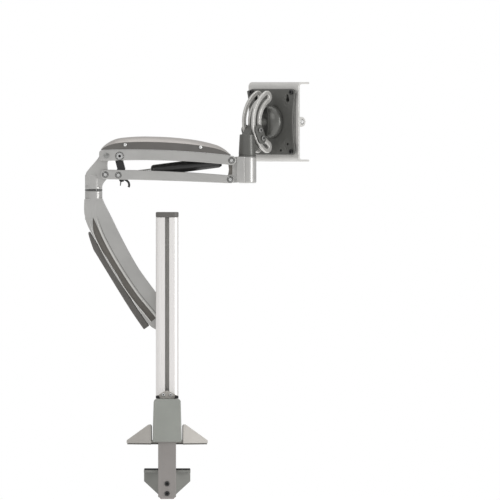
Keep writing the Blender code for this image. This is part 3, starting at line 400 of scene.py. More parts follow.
def rounded(profile, radius, steps=4):
    """The same profile with each inner corner rounded, as far as its edges allow."""
    out = [profile[0]]
    for a, b, c in zip(profile, profile[1:], profile[2:]):
        a, b, c = Vector(a), Vector(b), Vector(c)
        before, after = (a - b), (c - b)
        reach = min(radius, before.length * 0.45, after.length * 0.45)
        if reach < 0.02 or before.normalized().dot(after.normalized()) < -0.98:
            out.append(tuple(b))
            continue
        start, end = b + before.normalized() * reach, b + after.normalized() * reach
        for i in range(steps + 1):
            t = i / steps
            out.append(tuple(start * (1 - t) ** 2 + b * 2 * t * (1 - t) + end * t**2))
    return [*out, profile[-1]]


def arc(cx, cy, radius, start, end, steps):
    """Points on an arc, angles in degrees, both ends included."""
    turn = (end - start) / steps
    angles = [math.radians(start + turn * i) for i in range(steps + 1)]
    return [(cx + radius * math.cos(a), cy + radius * math.sin(a)) for a in angles]


def round_box(half_x, half_y, corner, grow=0.0):
    """A rectangle about the origin with round corners."""
    outline = []
    for k, (sx, sy) in enumerate(((1, 1), (-1, 1), (-1, -1), (1, -1))):
        centre = (sx * (half_x - corner), sy * (half_y - corner))
        outline += arc(*centre, corner + grow, 90 * k, 90 * k + 90, 12)
    return outline


def bevel(made, width, segments=3, angle=35):
    """Rounds a piece's sharp edges."""
    edge = made.modifiers.new("round_edges", "BEVEL")
    edge.width = width * MM
    edge.segments = segments
    edge.limit_method = "ANGLE"
    edge.angle_limit = math.radians(angle)
    return made


def combine(made, operation, *others):
    """Adds a boolean modifier to a piece for each of the others."""
    for other in others:
        change = made.modifiers.new(operation.lower(), "BOOLEAN")
        change.operation = operation
        change.object = other
        change.solver = "EXACT"
        change.material_mode = "TRANSFER"
    return made


def cut(made, *cutters):
    """Takes the cutters away from a piece."""
    return combine(made, "DIFFERENCE", *cutters)


def weld(made, *others):
    """Joins the others to a piece."""
    return combine(made, "UNION", *others)


def tinted(cutter, finish):
    """A cutter whose faces take a finish of their own."""
    cutter.data.materials.append(FINISHES[finish])
    return cutter


def repaint(made, finish):
    """Gives a piece another finish than its node's slot has."""
    made.data.materials[0] = FINISHES[finish]


def smooth_line(points, steps):
    """Points along a Catmull-Rom curve through the given ones."""
    out = []
    ends = [points[0], *points, points[-1]]
    for i in range(len(points) - 1):
        a, b, c, d = (Vector(p) for p in ends[i : i + 4])
        for k in range(steps):
            t = k / steps
            line = 2 * b + (c - a) * t + (2 * a - 5 * b + 4 * c - d) * t**2
            out.append(0.5 * (line + (3 * b - a - 3 * c + d) * t**3))
    return [tuple(p) for p in out] + [points[-1]]


def offset_band(points, near, far):
    """The strip that lies between two distances to the left of a line."""
    left, right = [], []
    for i, p in enumerate(points):
        a, b = Vector(points[max(i - 1, 0)]), Vector(points[min(i + 1, len(points) - 1)])
        run = (b - a).normalized()
        normal = Vector((-run.y, run.x))
        left.append(tuple(Vector(p) + normal * far))
        right.append(tuple(Vector(p) + normal * near))
    return right + left[::-1]


def tapered_band(points, near, far, thin=8, towards=0.25, tip=0.0):
    """As offset_band, but narrowing over the line's last points to a share `tip` of its width."""
    band = offset_band(points, near, far)
    middle = len(points)
    for k in range(thin):
        t = tip + (1 - tip) * k / thin
        right, left = Vector(band[middle - 1 - k]), Vector(band[middle + k])
        centre = left * towards + right * (1 - towards)
        band[middle - 1 - k] = tuple(centre.lerp(right, t))
        band[middle + k] = tuple(centre.lerp(left, t))
    return band


SHARP = math.radians(38)  # edges that turn further are left sharp in the shading


def settle():
    """Bakes each piece's modifiers and place into its mesh, and lets it ride on its node's body."""
    bpy.context.view_layer.update()
    graph = bpy.context.evaluated_depsgraph_get()
    done = {}
    for piece in PIECES:
        mesh = bpy.data.meshes.new_from_object(piece.evaluated_get(graph))
        mesh.transform(piece.matrix_world)
        done[piece] = mesh
    for piece, mesh in done.items():
        piece.modifiers.clear()
        piece.data = mesh
        piece.matrix_world = Matrix.Identity(4)
        mesh.shade_smooth()
        mesh.set_sharp_from_angle(angle=SHARP)
        even = piece.modifiers.new("even_shading", "WEIGHTED_NORMAL")
        even.keep_sharp = True
        node = piece["node"]
        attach(piece, BODY_OF[node])
        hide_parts(node)
    for cutter in CUTTERS:
        bpy.data.objects.remove(cutter, do_unlink=True)


# ---- fasteners


def hex_socket(radius, thick, matrix, top):
    """A hexagonal socket, as a cutter about the height `top`, its faces painted near black: painted shade inside
    it.
    """
    return tinted(prism("socket", arc(0, 0, radius, 0, 300, 5), thick, matrix, top), "painted_recess_shade")


def fastener(node, matrix, radius, head_from, head, shank, bottom):
    """A round-headed screw along the matrix's Z with a hexagonal socket in its head."""
    top = head_from + head
    profile = [(0, top), (radius, top), (radius, head_from), (shank, head_from), (shank, bottom), (0, bottom)]
    made = turned(node, rounded(profile, min(0.7, head * 0.45)), matrix, FINE)
    return cut(made, hex_socket(radius / 2, head * 1.5, matrix, top))


def pivot_pin(node, at, half, head=4.6, shank=3.0, ring=True):
    """A pivot pin across the arms with a dished head at each end."""
    top, low = half + 1.9, half + 0.25
    side = [(0, top), (head * 0.6, top), (head - 0.3, top - 0.5), (head, top - 1.0), (head, low)]
    place = pin_frame(at)
    made = turned(node, mirrored([*side, (shank, low)], 1, -1), place, FINE)
    # a near-black ring in each head: painted shade in the dish
    for sign in (-1, 1) if ring else ():
        cut(made, tinted(washer("dish", head * 0.62, head * 0.88, sign * top, 1.4, place), "seat"))
    return made


def washer(name, inner, outer, middle, thick, matrix):
    """A flat ring as a cutter, about the height `middle`."""
    low, high = middle - thick / 2, middle + thick / 2
    profile = [(inner, high), (outer, high), (outer, low), (inner, low), (inner, high)]
    return turned(name, profile, matrix, FINE)


def pin_seats(node, places, radius):
    """A shallow ring in both flanks of a link around each of its pins, painted near black: painted shade in the
    gap around the pin.
    """
    flanks = (-half_width(node), half_width(node))
    rings = [washer("seat", radius, radius + 0.9, y, 1.0, pin_frame(at)) for at in places for y in flanks]
    return [tinted(ring, "seat") for ring in rings]


# ---- desk clamp


BOLT_Y = 12.5  # where the bolt through the foot holds the column down
BOLT_BORE = 3.9  # the radius of its hole
EDGE_Y = -15.0  # the foot's edge between its wings


def make_foot():
    """The foot plate, its two bent wings and the rubber pad."""
    low, high = node_box("base_foot")
    pad_high = node_box("foot_pad")[1]
    wing_in, wing_out = 27.0, high.x
    edge_y, tip_y, base = low.y, low.y + 20, low.z
    thick = 4.0
    half = [(wing_in, edge_y), (wing_out, tip_y), (wing_out, 18), (38, 48)]
    outline = [(wing_in, EDGE_Y), *mirrored(half), (-wing_in, EDGE_Y)]
    foot = prism("base_foot", outline, thick, level_frame(), base + thick / 2)
    for sign in (-1, 1):
        along = Vector((sign * (wing_out - wing_in), tip_y - edge_y, 0))
        place = axis_frame((sign * wing_in, edge_y, 0), along.cross(Vector(UP)), along)
        crest = [(along.length, 7.0), *arc(3.5, high.z - 3.4, 3.4, 60, 180, 6)]
        wing = [(0, base + 1), (along.length, base + 1), *crest]
        weld(foot, prism("wing", wing, thick, place, -sign * (thick / 2 + 0.01)))
    cut(foot, hole("foot_bolt_hole", BOLT_BORE, -5, 20, level_frame(0, BOLT_Y)))
    bevel(foot, 0.6, 2, 30)
    share = 0.985  # of the plate's outline
    smaller = [(x * share, max(y, edge_y + 0.8) * share) for x, y in outline]
    pad = prism("foot_pad", smaller, pad_high.z, level_frame(), pad_high.z / 2)
    repaint(pad, "foot_pad")
    cut(pad, hole("pad_bolt_hole", 6.8, -5, 20, level_frame(0, BOLT_Y)))
    bevel(pad, 0.5, 2, 30)


def make_block():
    """The casting that holds the column and guides the jaw's strap."""
    low, high = node_box("base_block")
    strap_low, strap_high = node_box("jaw_strap")
    half_top, chamfer = high.x - 2.0, 5
    front = [(high.x, low.z), (half_top, high.z - 4), (half_top - chamfer, high.z)]
    made = bevel(upright("base_block", mirrored(front)), 1.8, 4, 25)
    lip, floor = 100.0, 12.0  # past any face; the bottom of the column's room
    foot_top = node_box("foot_pad")[1].z + 4.6
    strap_front, strap_back = strap_low.y - GAP, strap_high.y + GAP
    holes = [
        prism("column_room", column_outline(GAP), 2 * lip, level_frame(), floor + lip),
        block("strap_room", (strap_low.x - GAP, strap_front, -lip), (strap_high.x + GAP, strap_back, 72)),
        block("nut_room", (-8.6, strap_high.y - 3, -lip), (8.6, -23.0, 71.8)),
        block("foot_room", (-lip, EDGE_Y - GAP, -lip), (lip, lip, foot_top)),
        hole("drive_hole", 3.9, 70, lip, level_frame(0, SCREW_Y)),
        hole("bolt_hole", BOLT_BORE, -5, 30, level_frame(0, BOLT_Y)),
    ]
    cut(made, *holes)
    bevel(made, 0.4, 2, 60)


def make_column_key():
    """The peaked plate in front of the column, its two screws, and the rubber wedges beside it."""
    low, high = node_box("column_key")
    shoulder = low.z + 3.7
    outline = [(low.x, low.z), (high.x, low.z), (high.x, shoulder)]
    outline += [*arc(0, high.z - 3.0, 3.0, 60, 120, 4), (low.x, shoulder)]
    plate = upright("column_key", outline)
    for side in ("left", "right"):
        node = f"key_screw_{side}"
        middle = node_centre(node)
        place = axis_frame((middle.x, low.y, middle.z), (0, -1, 0))
        cut(plate, hole("key_hole", 1.9, -9, 9, place))
        fastener(node, place, 2.7, 0.3, 1.4, 1.6, -2.7)
    bevel(plate, 0.6, 3, 30)
    low, high = node_box("wedge_pad")
    corner = [(12, low.z), (13.6, high.z), (high.x, high.z), (high.x, low.z)]
    wedge = upright("wedge_pad", corner)
    mirror = [(-x, z) for x, z in corner]
    weld(wedge, prism("wedge_left", mirror, high.y - low.y, side_frame((low.y + high.y) / 2)))
    bevel(wedge, 0.4, 2, 30)


# ---- column


def column_outline(grow=0.0):
    """The column's outline seen from above, without its slots."""
    high = node_box("column")[1]
    return round_box(high.x, high.y, 9.0, grow)


def make_column():
    """The extruded column with a T-slot front and rear, and its cap."""
    low, high = node_box("column")
    tall = high.z - low.z
    middle = (low.z + high.z) / 2
    made = prism("column", column_outline(), tall, level_frame(), middle)
    for sign in (-1, 1):
        lip, deep, narrow, wide = high.y - 2.2, high.y - 7.0, 3.5, 6.0
        half = [(narrow, high.y + 5), (narrow, lip), (wide, lip), (wide, deep + 2), (wide - 2, deep)]
        slot = [(x * sign, y * sign) for x, y in mirrored(half)]
        # the slot's inner faces are painted grey: painted shade in the recess
        cut(made, tinted(prism("slot", slot, 2 * tall, level_frame(), middle), "painted_column_shade"))
    # thin grooves near the column's corners, painted grey: painted shade for the darker limbs of the column
    fine, line_y = 0.35, 10.4
    for sx, sy in ((1, 1), (1, -1), (-1, 1), (-1, -1)):
        x, y = sx * high.x, sy * line_y
        line = block("edge_line", (x - fine, y - fine, 0), (x + fine, y + fine, 2 * tall))
        cut(made, tinted(line, "painted_column_shade"))
    cut(made, rod("column_core", 8.0, 20, 500, level_frame()))
    cut(made, hole("bolt_room", BOLT_BORE, 0, 40, level_frame(0, BOLT_Y)))
    bevel(made, 0.35, 2, 50)
    low, high = node_box("column_cap")
    middle = (low.z + high.z) / 2
    bevel(prism("column_cap", column_outline(0.15), high.z - low.z, level_frame(), middle), 1.4, 4, 50)


# ---- jaw


def make_jaw():
    """The strap over the desk's edge with the jaw, its pad and bolts."""
    low, high = node_box("jaw_strap")
    strap = upright("jaw_strap", mirrored([(high.x - 4, low.z), (high.x, low.z + 5), (high.x, high.z)]))
    bevel(strap, 0.9, 3, 30)
    front = low.y
    places = {}
    for level in ("upper", "lower"):
        places[level] = node_centre(f"jaw_bolt_{level}").z
        cut(strap, hole("strap_hole", 4.3, -9, 9, pin_frame((0, 0, places[level]), front + 3)))
    jaw_low, jaw_high = node_box("jaw_bracket")
    back, floor, half = jaw_low.y, jaw_high.z, high.x
    jaw = block("jaw_bracket", (jaw_low.x, back, floor - 4), (jaw_high.x, jaw_high.y, floor))
    # a darker grey than its slot: painted shade under the desk
    repaint(jaw, "jaw")
    weld(jaw, block("jaw_spine", (-half, back, -88), (half, back + 4, floor - 1)))
    for sign in (-1, 1):
        along = Vector((sign * (jaw_high.x - half + 1), 24, 0))
        place = axis_frame((sign * (half - 1), back + 0.2, 0), along.cross(Vector(UP)), along)
        reach = along.length
        wing = [(0, floor - 1), (reach, floor - 1), (reach, -62), (0, -84.4)]
        weld(jaw, prism("jaw_wing", wing, 4.0, place, -sign * 2.01))
    for level, z in places.items():
        cut(jaw, hole("jaw_hole", 3.2, -9, 9, pin_frame((0, 0, z), back + 2)))
        fastener(f"jaw_bolt_{level}", axis_frame((0, front, z), (0, -1, 0)), 3.9, -2.6, 4.9, 2.9, -8.6)
    bevel(jaw, 0.7, 2, 30)
    low, high = node_box("jaw_pad")
    bevel(block("jaw_pad", low, high), 0.4, 3)


def make_clamp_screw():
    """The captive screw under the block's top, driven through a small hole."""
    low, high = node_box("clamp_screw")
    head_from = 65.9
    fastener("clamp_screw", level_frame(0, SCREW_Y), 4.8, head_from, high.z - head_from, 3.5, low.z)


# ---- column bracket


def make_carriage():
    """The carriage on the column's rear slot, with two ears for the lower arm's shaft."""
    low, high = node_box("column_bracket")
    half, ear, y0 = high.x, 8.0, low.y
    made = block("column_bracket", (-half, y0, low.z), (half, y0 + 8.5, high.z))
    outline = [(half, y0 + 4), *arc(0, ARM_Y, half, 0, 180, 40), (-half, y0 + 4)]
    for z in (low.z + ear / 2, high.z - ear / 2):
        weld(made, prism("ear", outline, ear, level_frame(), z))
    cut(made, rod("ear_hole", 8.2, 100, 300, AT_COLUMN))
    z = (low.z + high.z) / 2
    cut(made, hole("bracket_hole", 2.9, -9, 9, pin_frame((0, 0, z), y0 + 4)),
        hole("bracket_sink", 4.9, y0 + 4.5, y0 + 12, pin_frame((0, 0, z), 0)))
    bevel(made, 1.1, 3, 30)
    fastener("bracket_screw", axis_frame((0, y0 + 4.8, z), (0, 1, 0)), 4.6, 0.0, 3.4, 2.6, -9.6)
    shaft_low, shaft_high = node_box("pivot_shaft")
    top, seat, bottom = shaft_high.z, high.z + GAP, shaft_low.z
    shaft = [(0, top - 0.9), (5.6, top - 0.9), (6.4, top), (11.2, top), (11.2, seat), (8, seat)]
    shaft += [(8, bottom), (0, bottom)]
    turned("pivot_shaft", rounded(shaft, 0.9), AT_COLUMN)


# ---- lower arm

# The arm's flank, from the elbow down to the column bracket
UPPER_EDGE = [(-109.6, 413), (-105.4, 403), (-95.2, 383), (-74, 340), (-50, 297), (-29.5, 268),
              (-19, 253), (-19, 244)]
LOWER_EDGE = [(-12, 189), (-30, 199), (-52, 231), (-80, 276), (-108, 322), (-131, 360),
              (-139.4, 386), (-139.6, 411)]
GROOVE = [(-22, 209), (-34, 224), (-53, 247), (-75, 279), (-97, 315), (-115, 350), (-126, 380)]
COVER_RUN = [(-30, 198.4), (-52, 230.4), (-80, 275.4), (-108, 321.4), (-130, 357)]


def make_lower_arm():
    """The cast arm with its two bosses, the groove along each flank, and the cable cover behind it."""
    high = node_box("lower_arm")[1]
    base_low, base_high = node_box("base_bush")
    half, boss, elbow = 14.0, high.y - ARM_Y, 14.6
    outline = smooth_line(UPPER_EDGE, 8) + smooth_line(LOWER_EDGE, 8)
    arm = bevel(prism("lower_arm", outline, 2 * half, side_frame()), 4.6, 5, 50)
    weld(arm, drum("boss_base", boss, base_low.z, base_high.z, AT_COLUMN, 1.6, 5))
    neck = rounded([(0, high.z), (elbow, high.z), (elbow, 376), (0, 370)], 1.0)
    weld(arm, turned("boss_elbow", neck, AT_ELBOW))
    line = smooth_line(GROOVE, 10)
    for side in (-1, 1):
        place = side_frame(ARM_Y + side * half)
        # the groove's faces are painted dark: painted shade in the recess
        for near, far, deep in ((-3.6, 6.4, 4.0), (-9.0, -8.2, 1.2)):
            cut(arm, tinted(prism("groove", tapered_band(line, near, far), deep, place), "groove"))
        # ribs beside the groove, painted pale: painted highlight on their edges
        for near, far in ((6.6, 8.0), (-6.4, -3.9)):
            weld(arm, tinted(prism("ridge", tapered_band(line, near, far), 1.0, place), "ridge"))
    cut(arm, rod("base_bore", 11.4, 100, 300, AT_COLUMN))
    cut(arm, rod("elbow_bore", 10.4, 390, 500, AT_ELBOW))
    bevel(arm, 0.5, 2, 50)
    run = tapered_band(smooth_line(COVER_RUN, 8), 0.5, 11.5, 6, 0.0, 0.3)
    bevel(prism("cable_cover", run, 22.0, side_frame()), 1.6, 4, 50)


# ---- elbow and links


EYE_R = 8.2  # of the yoke about each of its two pivots


def make_elbow():
    """The yoke that turns on the lower arm and carries both links, with its ring and the bores for its rear pins.
    """
    low, high = node_box("elbow_ring")
    radius = 14.7
    ring = rounded([(8.0, high.z), (radius, high.z), (radius, low.z), (8.0, low.z)], 0.5)
    turned("elbow_ring", [*ring, ring[0]], AT_ELBOW)
    base = high.z + GAP
    up, down = UP_REAR, LOW_REAR
    outline = smooth_line([(-138.4, base + 8), (-137.4, 453), (-131, 463), (-118, 478), (-112.8, 486.5)], 5)
    outline += arc(up.x, up.z, EYE_R, 150, -60, 24)[1:]
    outline += smooth_line([(up.x + 1.8, 474), (up.x + 1.2, 468.5), (down.x + 3.8, 463)], 5)
    outline += arc(down.x, down.z, EYE_R, 62, -75, 16)
    outline += smooth_line([(-104.4, 442.0), (-107.3, 438), (-109.3, 433.5), (-109.8, base + 2)], 5)
    yoke = bevel(prism("elbow_yoke", outline, 26.0, side_frame()), 2.8, 4, 45)
    weld(yoke, drum("yoke_boss", 14.6, base, 452, AT_ELBOW, 1.0))
    cut(yoke, rod("yoke_bore", 7.8, 400, 446, AT_ELBOW))
    cut(yoke, *pin_holes((up, down)))
    bevel(yoke, 0.4, 2, 55)


UPPER_ENDS, LOWER_ENDS = (9.0, 7.8), (8.0, 6.6)  # half of each link's height at its rear and its front
TAIL = 8.0  # how far the upper link runs on behind its rear pivot


def bar_edge(rear, front, rear_r, front_r, rise, sign, steps=32):
    """A link's upper (sign 1) or lower (sign -1) edge, from its rear pivot to its front one."""
    out = []
    for i in range(steps + 1):
        t = i / steps
        along = rear + (front - rear) * t
        out.append((along.x, along.z + sign * (rear_r + (front_r - rear_r) * t) + rise * 4 * t * (1 - t)))
    return out


def bar_outline(rear, front, above, below, rear_r, front_r, bow, tail=0.0):
    """The side of a link: round at both ends, with an upper and a lower edge that bow."""
    turn = math.degrees(math.atan2(front.z - rear.z, front.x - rear.x))
    top = bar_edge(rear, front, rear_r, front_r, above + bow, 1)[1:-1]
    bottom = bar_edge(rear, front, rear_r, front_r, bow - below, -1)[1:-1]
    start = arc(rear.x, rear.z, rear_r, turn + 250, turn + 110, 20)
    if tail:
        corner = rear_r / 2
        start = arc(rear.x - tail, rear.z - rear_r + corner, corner, 270, 180, 8)
        start += arc(rear.x - tail, rear.z + rear_r - corner, corner, 180, 90, 8)
    end = arc(front.x, front.z, front_r, turn + 70, turn - 70, 20)
    return start + top + end + bottom[::-1]


def pin_holes(places, radius=3.15):
    """Bores across the arms, one at each pivot."""
    return [hole("pin_hole", radius, -40, 40, pin_frame(at)) for at in places]


def half_width(node):
    """Half of a node's width across the arms."""
    low, high = node_box(node)
    return (high.y - low.y) / 2


def make_link(node, outline, hollow, wall, pins, seats):
    """A channel with bores for its pins and a seat around each."""
    half = half_width(node)
    link = bevel(prism(node, outline, 2 * half, side_frame()), 1.0, 3, 50)
    cut(link, prism(f"{node}_room", hollow, 2 * (half - wall), side_frame()))
    cut(link, *pin_holes(pins))
    for places, radius in seats:
        cut(link, *pin_seats(node, places, radius))
    bevel(link, 0.35, 2, 60)


def make_upper_link():
    """The upper link, open at the bottom."""
    outline = bar_outline(UP_REAR, UP_FRONT, 0.2, -0.4, *UPPER_ENDS, 3.6, TAIL)
    peak = [(x, z - 3.2) for x, z in bar_edge(UP_REAR, UP_FRONT, *UPPER_ENDS, 3.8, 1, 24)][2:-2]
    hollow = [(-130, 440), (125, 440), (125, 505), (peak[-1][0], 505), *peak[::-1]]
    hollow += [(peak[0][0], 505), (-130, 505)]
    pins, seats = (UP_REAR, UP_STRUT, UP_FRONT), (((UP_FRONT,), 4.6), ((UP_STRUT,), 6.4))
    make_link("upper_link", outline, hollow, 4.5, pins, seats)


def make_lower_link():
    """The lower link, open at the top, so that the gas spring lies in it."""
    outline = bar_outline(LOW_REAR, LOW_FRONT, 0.6, 0.6, *LOWER_ENDS, 1.6)
    floor = [(x, z + 3.0) for x, z in bar_edge(LOW_REAR, LOW_FRONT, *LOWER_ENDS, 1.2, -1, 24)][12:-6]
    hollow = [(-130, 500), (-130, 425), (floor[0][0] - 7, 425), *floor, (66, 425), (125, 425), (125, 500)]
    pins = (LOW_REAR, LOW_STRUT, LOW_FRONT)
    make_link("lower_link", outline, hollow, 4.0, pins, ((pins, 4.6),))


def make_top_cover():
    """The long cover over the upper link: upright flanks, a soft edge and a crowned top, as a thin shell; the
    crown is painted lighter than the flanks as painted light from above.
    """
    crown_line = [(-111.5, 495.2), (-108, 499.4), (-102, 504.4), (-93, 509.6), (-81, 513.6), (-58, 515.9)]
    crown_line += [(-36, 516.5), (-4, 515.6), (24, 513.4), (52, 509.6), (79, 503.2), (94, 496.4)]
    crown_line += [(106.5, 486.2)]
    width = half_width("top_cover")
    across = 14
    shape = bmesh.new()
    rows, crown_faces = [], []
    for x, top in smooth_line(crown_line, 6):
        t = (x - UP_REAR.x) / REACH.x
        bow = 15.2 * max(t, 0) * (1 - t)
        base = UP_REAR.z + REACH.z * max(t, 0) + 9.0 - 1.2 * max(t, 0) + bow + 0.5
        tall = max(top - base, 1.0)
        edge = base + 0.60 * tall
        side = [(width, base), (width, base + 0.3 * tall), (width, edge)]
        spread = [1 - 2 * k / across for k in range(1, across)]
        arch = [(width * u, top - (top - edge) * u**2) for u in spread]
        section = mirrored(side)
        section[len(side):len(side)] = arch
        rows.append([shape.verts.new((x * MM, (ARM_Y + y) * MM, z * MM)) for y, z in section])
    for a, b in zip(rows, rows[1:]):
        for k in range(len(a) - 1):
            face = shape.faces.new((a[k], a[k + 1], b[k + 1], b[k]))
            if 2 <= k < len(a) - 3:
                crown_faces.append(face)
    for row in (rows[0], rows[-1]):
        shape.faces.new(row)
    # the crown's faces take a lighter finish: painted light on the top
    for face in crown_faces:
        face.material_index = 1
    cover = keep("top_cover", shape, Matrix.Identity(4))
    cover.data.materials.append(FINISHES["crown"])
    shell = cover.modifiers.new("wall", "SOLIDIFY")
    shell.thickness = 2.4 * MM
    shell.offset = -1
    bevel(cover, 1.1, 3, 22)


def make_strut():
    """The black strut between both links, and the cable hook that hangs below."""
    up, down = UP_STRUT, LOW_STRUT
    lean = 2.2
    outline = arc(up.x, up.z, 6.6, 180, 0, 20) + [(up.x + 6.0, up.z - 9), (up.x + 9.4, up.z - 21)]
    outline += arc(down.x + lean, down.z, 7.2, 0, -180, 20)
    outline += [(up.x - 4.2, up.z - 21), (up.x - 7.4, up.z - 9)]
    strut = bevel(prism("adjuster_strut", outline, 24.0, side_frame()), 1.0, 3, 50)
    cut(strut, *pin_holes((up, down), 3.2))
    x, z = down.x + 8, down.z
    run = [(-9, -5.5), (-2, -6.6), (4, -8.2), (8.6, -12), (10, -17), (9, -20.5)]
    run = smooth_line([(x + dx, z + dz) for dx, dz in run], 8)
    hook = prism("cable_hook", offset_band(run, -1.8, 1.8), 18.0, side_frame())
    claw = [(-9, -5), (1, -6), (1, -11), (-3.2, -12), (-4.2, -18), (-5.6, -18), (-5.0, -12)]
    weld(strut, hook, prism("hook_claw", [(x + dx, z + dz) for dx, dz in claw], 18.0, side_frame()))
    cut(strut, block("rod_room", (down.x - 20, ARM_Y - 6.4, z - 17), (down.x + 26, ARM_Y + 6.4, z + 13)))
    bevel(strut, 0.4, 2, 50)


def make_gas_spring():
    """The gas spring's tube, fitting and rod, from the front upper pivot towards the strut's lower pin."""
    run = LOW_STRUT - UP_FRONT
    place = axis_frame(UP_FRONT, run, (0, 1, 0))
    far, near = 136.0, 17.0
    tube = [(0, far), (6.8, far), (9.5, far - 3.2), (9.5, near + 5), (7.0, near), (0, near)]
    made = turned("gas_spring_tube", rounded(tube, 1.4), place)
    cut(made, hole("rod_bore", 4.3, 29, 150, place))
    fitting = rod("gas_spring_fitting", 4.4, 5, near - GAP, place, FINE)
    weld(fitting, drum("fitting_eye", 6.4, -7, 7, pin_frame(UP_FRONT), 0.8))
    cut(fitting, *pin_holes((UP_FRONT,), 3.2))
    drum("gas_spring_rod", 4.0, 50, run.length - 11, place, 0.6, sides=FINE)


def make_tip():
    """The casting at the front of the links, with the upright bore for the head's post."""
    low, high = node_box("tip_block")
    up, down = UP_FRONT, LOW_FRONT
    outline = arc(up.x, up.z, 6.4, 200, 60, 16)
    outline += [(118, high.z), (130, high.z), (130, low.z + 1), (118, low.z + 1)]
    outline += arc(down.x, down.z, 6.4, -60, -180, 14)
    outline += [(down.x - 3.4, down.z + 9), (down.x - 2.2, down.z + 17)]
    tip = bevel(prism("tip_block", outline, 34.0, side_frame()), 1.2, 3, 50)
    cut(tip, block("fitting_room", (90, ARM_Y - 8.6, down.z + 9), (118, ARM_Y + 8.6, 500)),
        block("tip_waist", (90, ARM_Y + 13, 400), (117, ARM_Y + 30, 500)),
        block("tip_waist_b", (90, ARM_Y - 30, 400), (117, ARM_Y - 13, 500)))
    # a thin web on each side, painted dark: painted shade between the links
    web = [(down.x - 6, down.z + 8), (down.x + 3.5, down.z + 8), (up.x + 1.6, up.z - 8), (up.x - 8, up.z - 8)]
    for side in (-1, 1):
        cut(tip, tinted(prism("tip_web", web, 1.2, side_frame(ARM_Y + side * 13.0)), "groove"))
    weld(tip, drum("tip_boss", 15.3, low.z, high.z, AT_HEAD, 3.0, 6))
    cut(tip, rod("tip_bore", 7.25, low.z + 5, 500, AT_HEAD))
    cut(tip, *pin_holes((up, down)))
    bevel(tip, 0.4, 2, 60)


# ---- head

RAIL_R, RAIL_HALF, SLOT_HALF = 47.5, 10.5, 3.6  # the rails' curve, half their width and half their slot's
RAIL_T, RAIL_AT = 5.0, 11.0  # how thick they are, and how far from the head's middle
RAIL_END = math.radians(62)
CLAMP_AT = math.radians(-26)  # where the tilt clamp holds the rails
HUB_R = 28.0
CLAMP_STEP = math.radians(9)  # from there to each of its bolts
CLAMP_BORE, PLATE_BORE = 2.7, 2.5  # the radius of the hole for such a bolt, and for one of the plate's screws
PATTERN = 37.5  # half of the spacing of the plate's inner holes
EXTRA = (22, -48)  # a small hole low in the plate and the bracket


def clamp_spots():
    """Where the clamp's two bolts cross the head's plane."""
    angles = (CLAMP_AT - CLAMP_STEP, CLAMP_AT + CLAMP_STEP)
    return [(RAIL_R * math.cos(a), RAIL_R * math.sin(a)) for a in angles]


def make_head_post():
    """The turning post, which reaches between the rails, with the bores for its tilt clamp's bolts."""
    low = node_box("head_post")[0]
    to_post = (Vector((HEAD_X, ARM_Y, 0)) - Vector((CENTRE.x, CENTRE.y, 0))).length
    foot, top = low.z, 520.0
    stem = [(0, top), (12.8, top), (14.6, foot + 4.2), (13.9, foot + 4.0), (13.9, foot + 3.0)]
    stem += [(14.8, foot + 2.8), (14.8, foot), (0, foot)]
    post = turned("head_post", rounded(stem, 1.2), AT_HEAD)
    rail_x, rail_y = RAIL_R * math.cos(CLAMP_AT), RAIL_R * math.sin(CLAMP_AT)
    outline = [(to_post + 6, 490.4 - CENTRE.z), (to_post - 12, 490.4 - CENTRE.z), (rail_x - 14, rail_y - 15)]
    outline += [(rail_x - 9, rail_y + 14), (rail_x + 8, rail_y + 15), (to_post + 6, top - CENTRE.z)]
    half = RAIL_AT - RAIL_T / 2 - GAP
    tongue = bevel(prism("post_tongue", outline, 2 * half, head_frame()), 1.0, 3, 30)
    cut(tongue, rod("bridge_room", RAIL_R - SLOT_HALF - 0.2, -30, 30, head_frame(), sides=128))
    room = prism("rail_room", arc(0, 0, RAIL_R + RAIL_HALF + 0.5, -80, 80, 60) + [(0, 0)], 40.0, head_frame())
    cut(post, room)
    weld(post, tongue)
    cut(post, rod("post_bore", 7.2, 450, 503, AT_HEAD))
    cut(post, *bores("clamp_hole", CLAMP_BORE, 30, head_frame(), clamp_spots()))
    bevel(post, 0.35, 2, 60)


def make_tilt_clamp():
    """The two clamp plates that grip the rails, and their bolts."""
    outer = RAIL_AT + RAIL_T / 2 + GAP
    turn = Matrix.Rotation(CLAMP_AT + math.pi / 2, 4, "Z")
    at = shifted(head_frame(), RAIL_R * math.cos(CLAMP_AT), RAIL_R * math.sin(CLAMP_AT)) @ turn
    bar = arc(8.5, 0, 8.6, -90, 90, 20) + arc(-8.5, 0, 8.6, 90, 270, 20)
    for sign, side in ((-1, "left"), (1, "right")):
        node = f"tilt_clamp_{side}"
        plate = prism(node, bar, 4.0, at, -sign * (outer + 2.0))
        bevel(plate, 0.9, 3, 40)
        cut(plate, *bores("plate_hole", CLAMP_BORE, 30, head_frame(), clamp_spots()))
    reach = outer + 4.0
    for node, (x, y) in zip(("tilt_bolt_lower", "tilt_bolt_upper"), clamp_spots()):
        place = shifted(head_frame(), x, y)
        profile = [(0, reach + 2.8), (4.2, reach + 2.8), (4.2, reach + 0.25), (2.4, reach + 0.25)]
        bolt = turned(node, rounded(mirrored(profile, 1, -1), 0.7), place, FINE)
        repaint(bolt, "dull_steel")
        for sign in (-1, 1):
            cut(bolt, hex_socket(2.0, 3.0, place, sign * (reach + 2.8)))


def banana(radius, half, reach):
    """A curved bar with round ends, about the origin."""
    deg, steps = math.degrees(reach), 56
    end = (radius * math.cos(reach), radius * math.sin(reach))
    points = arc(0, 0, radius + half, -deg, deg, steps)
    points += arc(*end, half, deg, deg + 180, 18)[1:-1]
    points += arc(0, 0, radius - half, deg, -deg, steps)
    points += arc(end[0], -end[1], half, -deg - 180, -deg, 18)[1:-1]
    return points


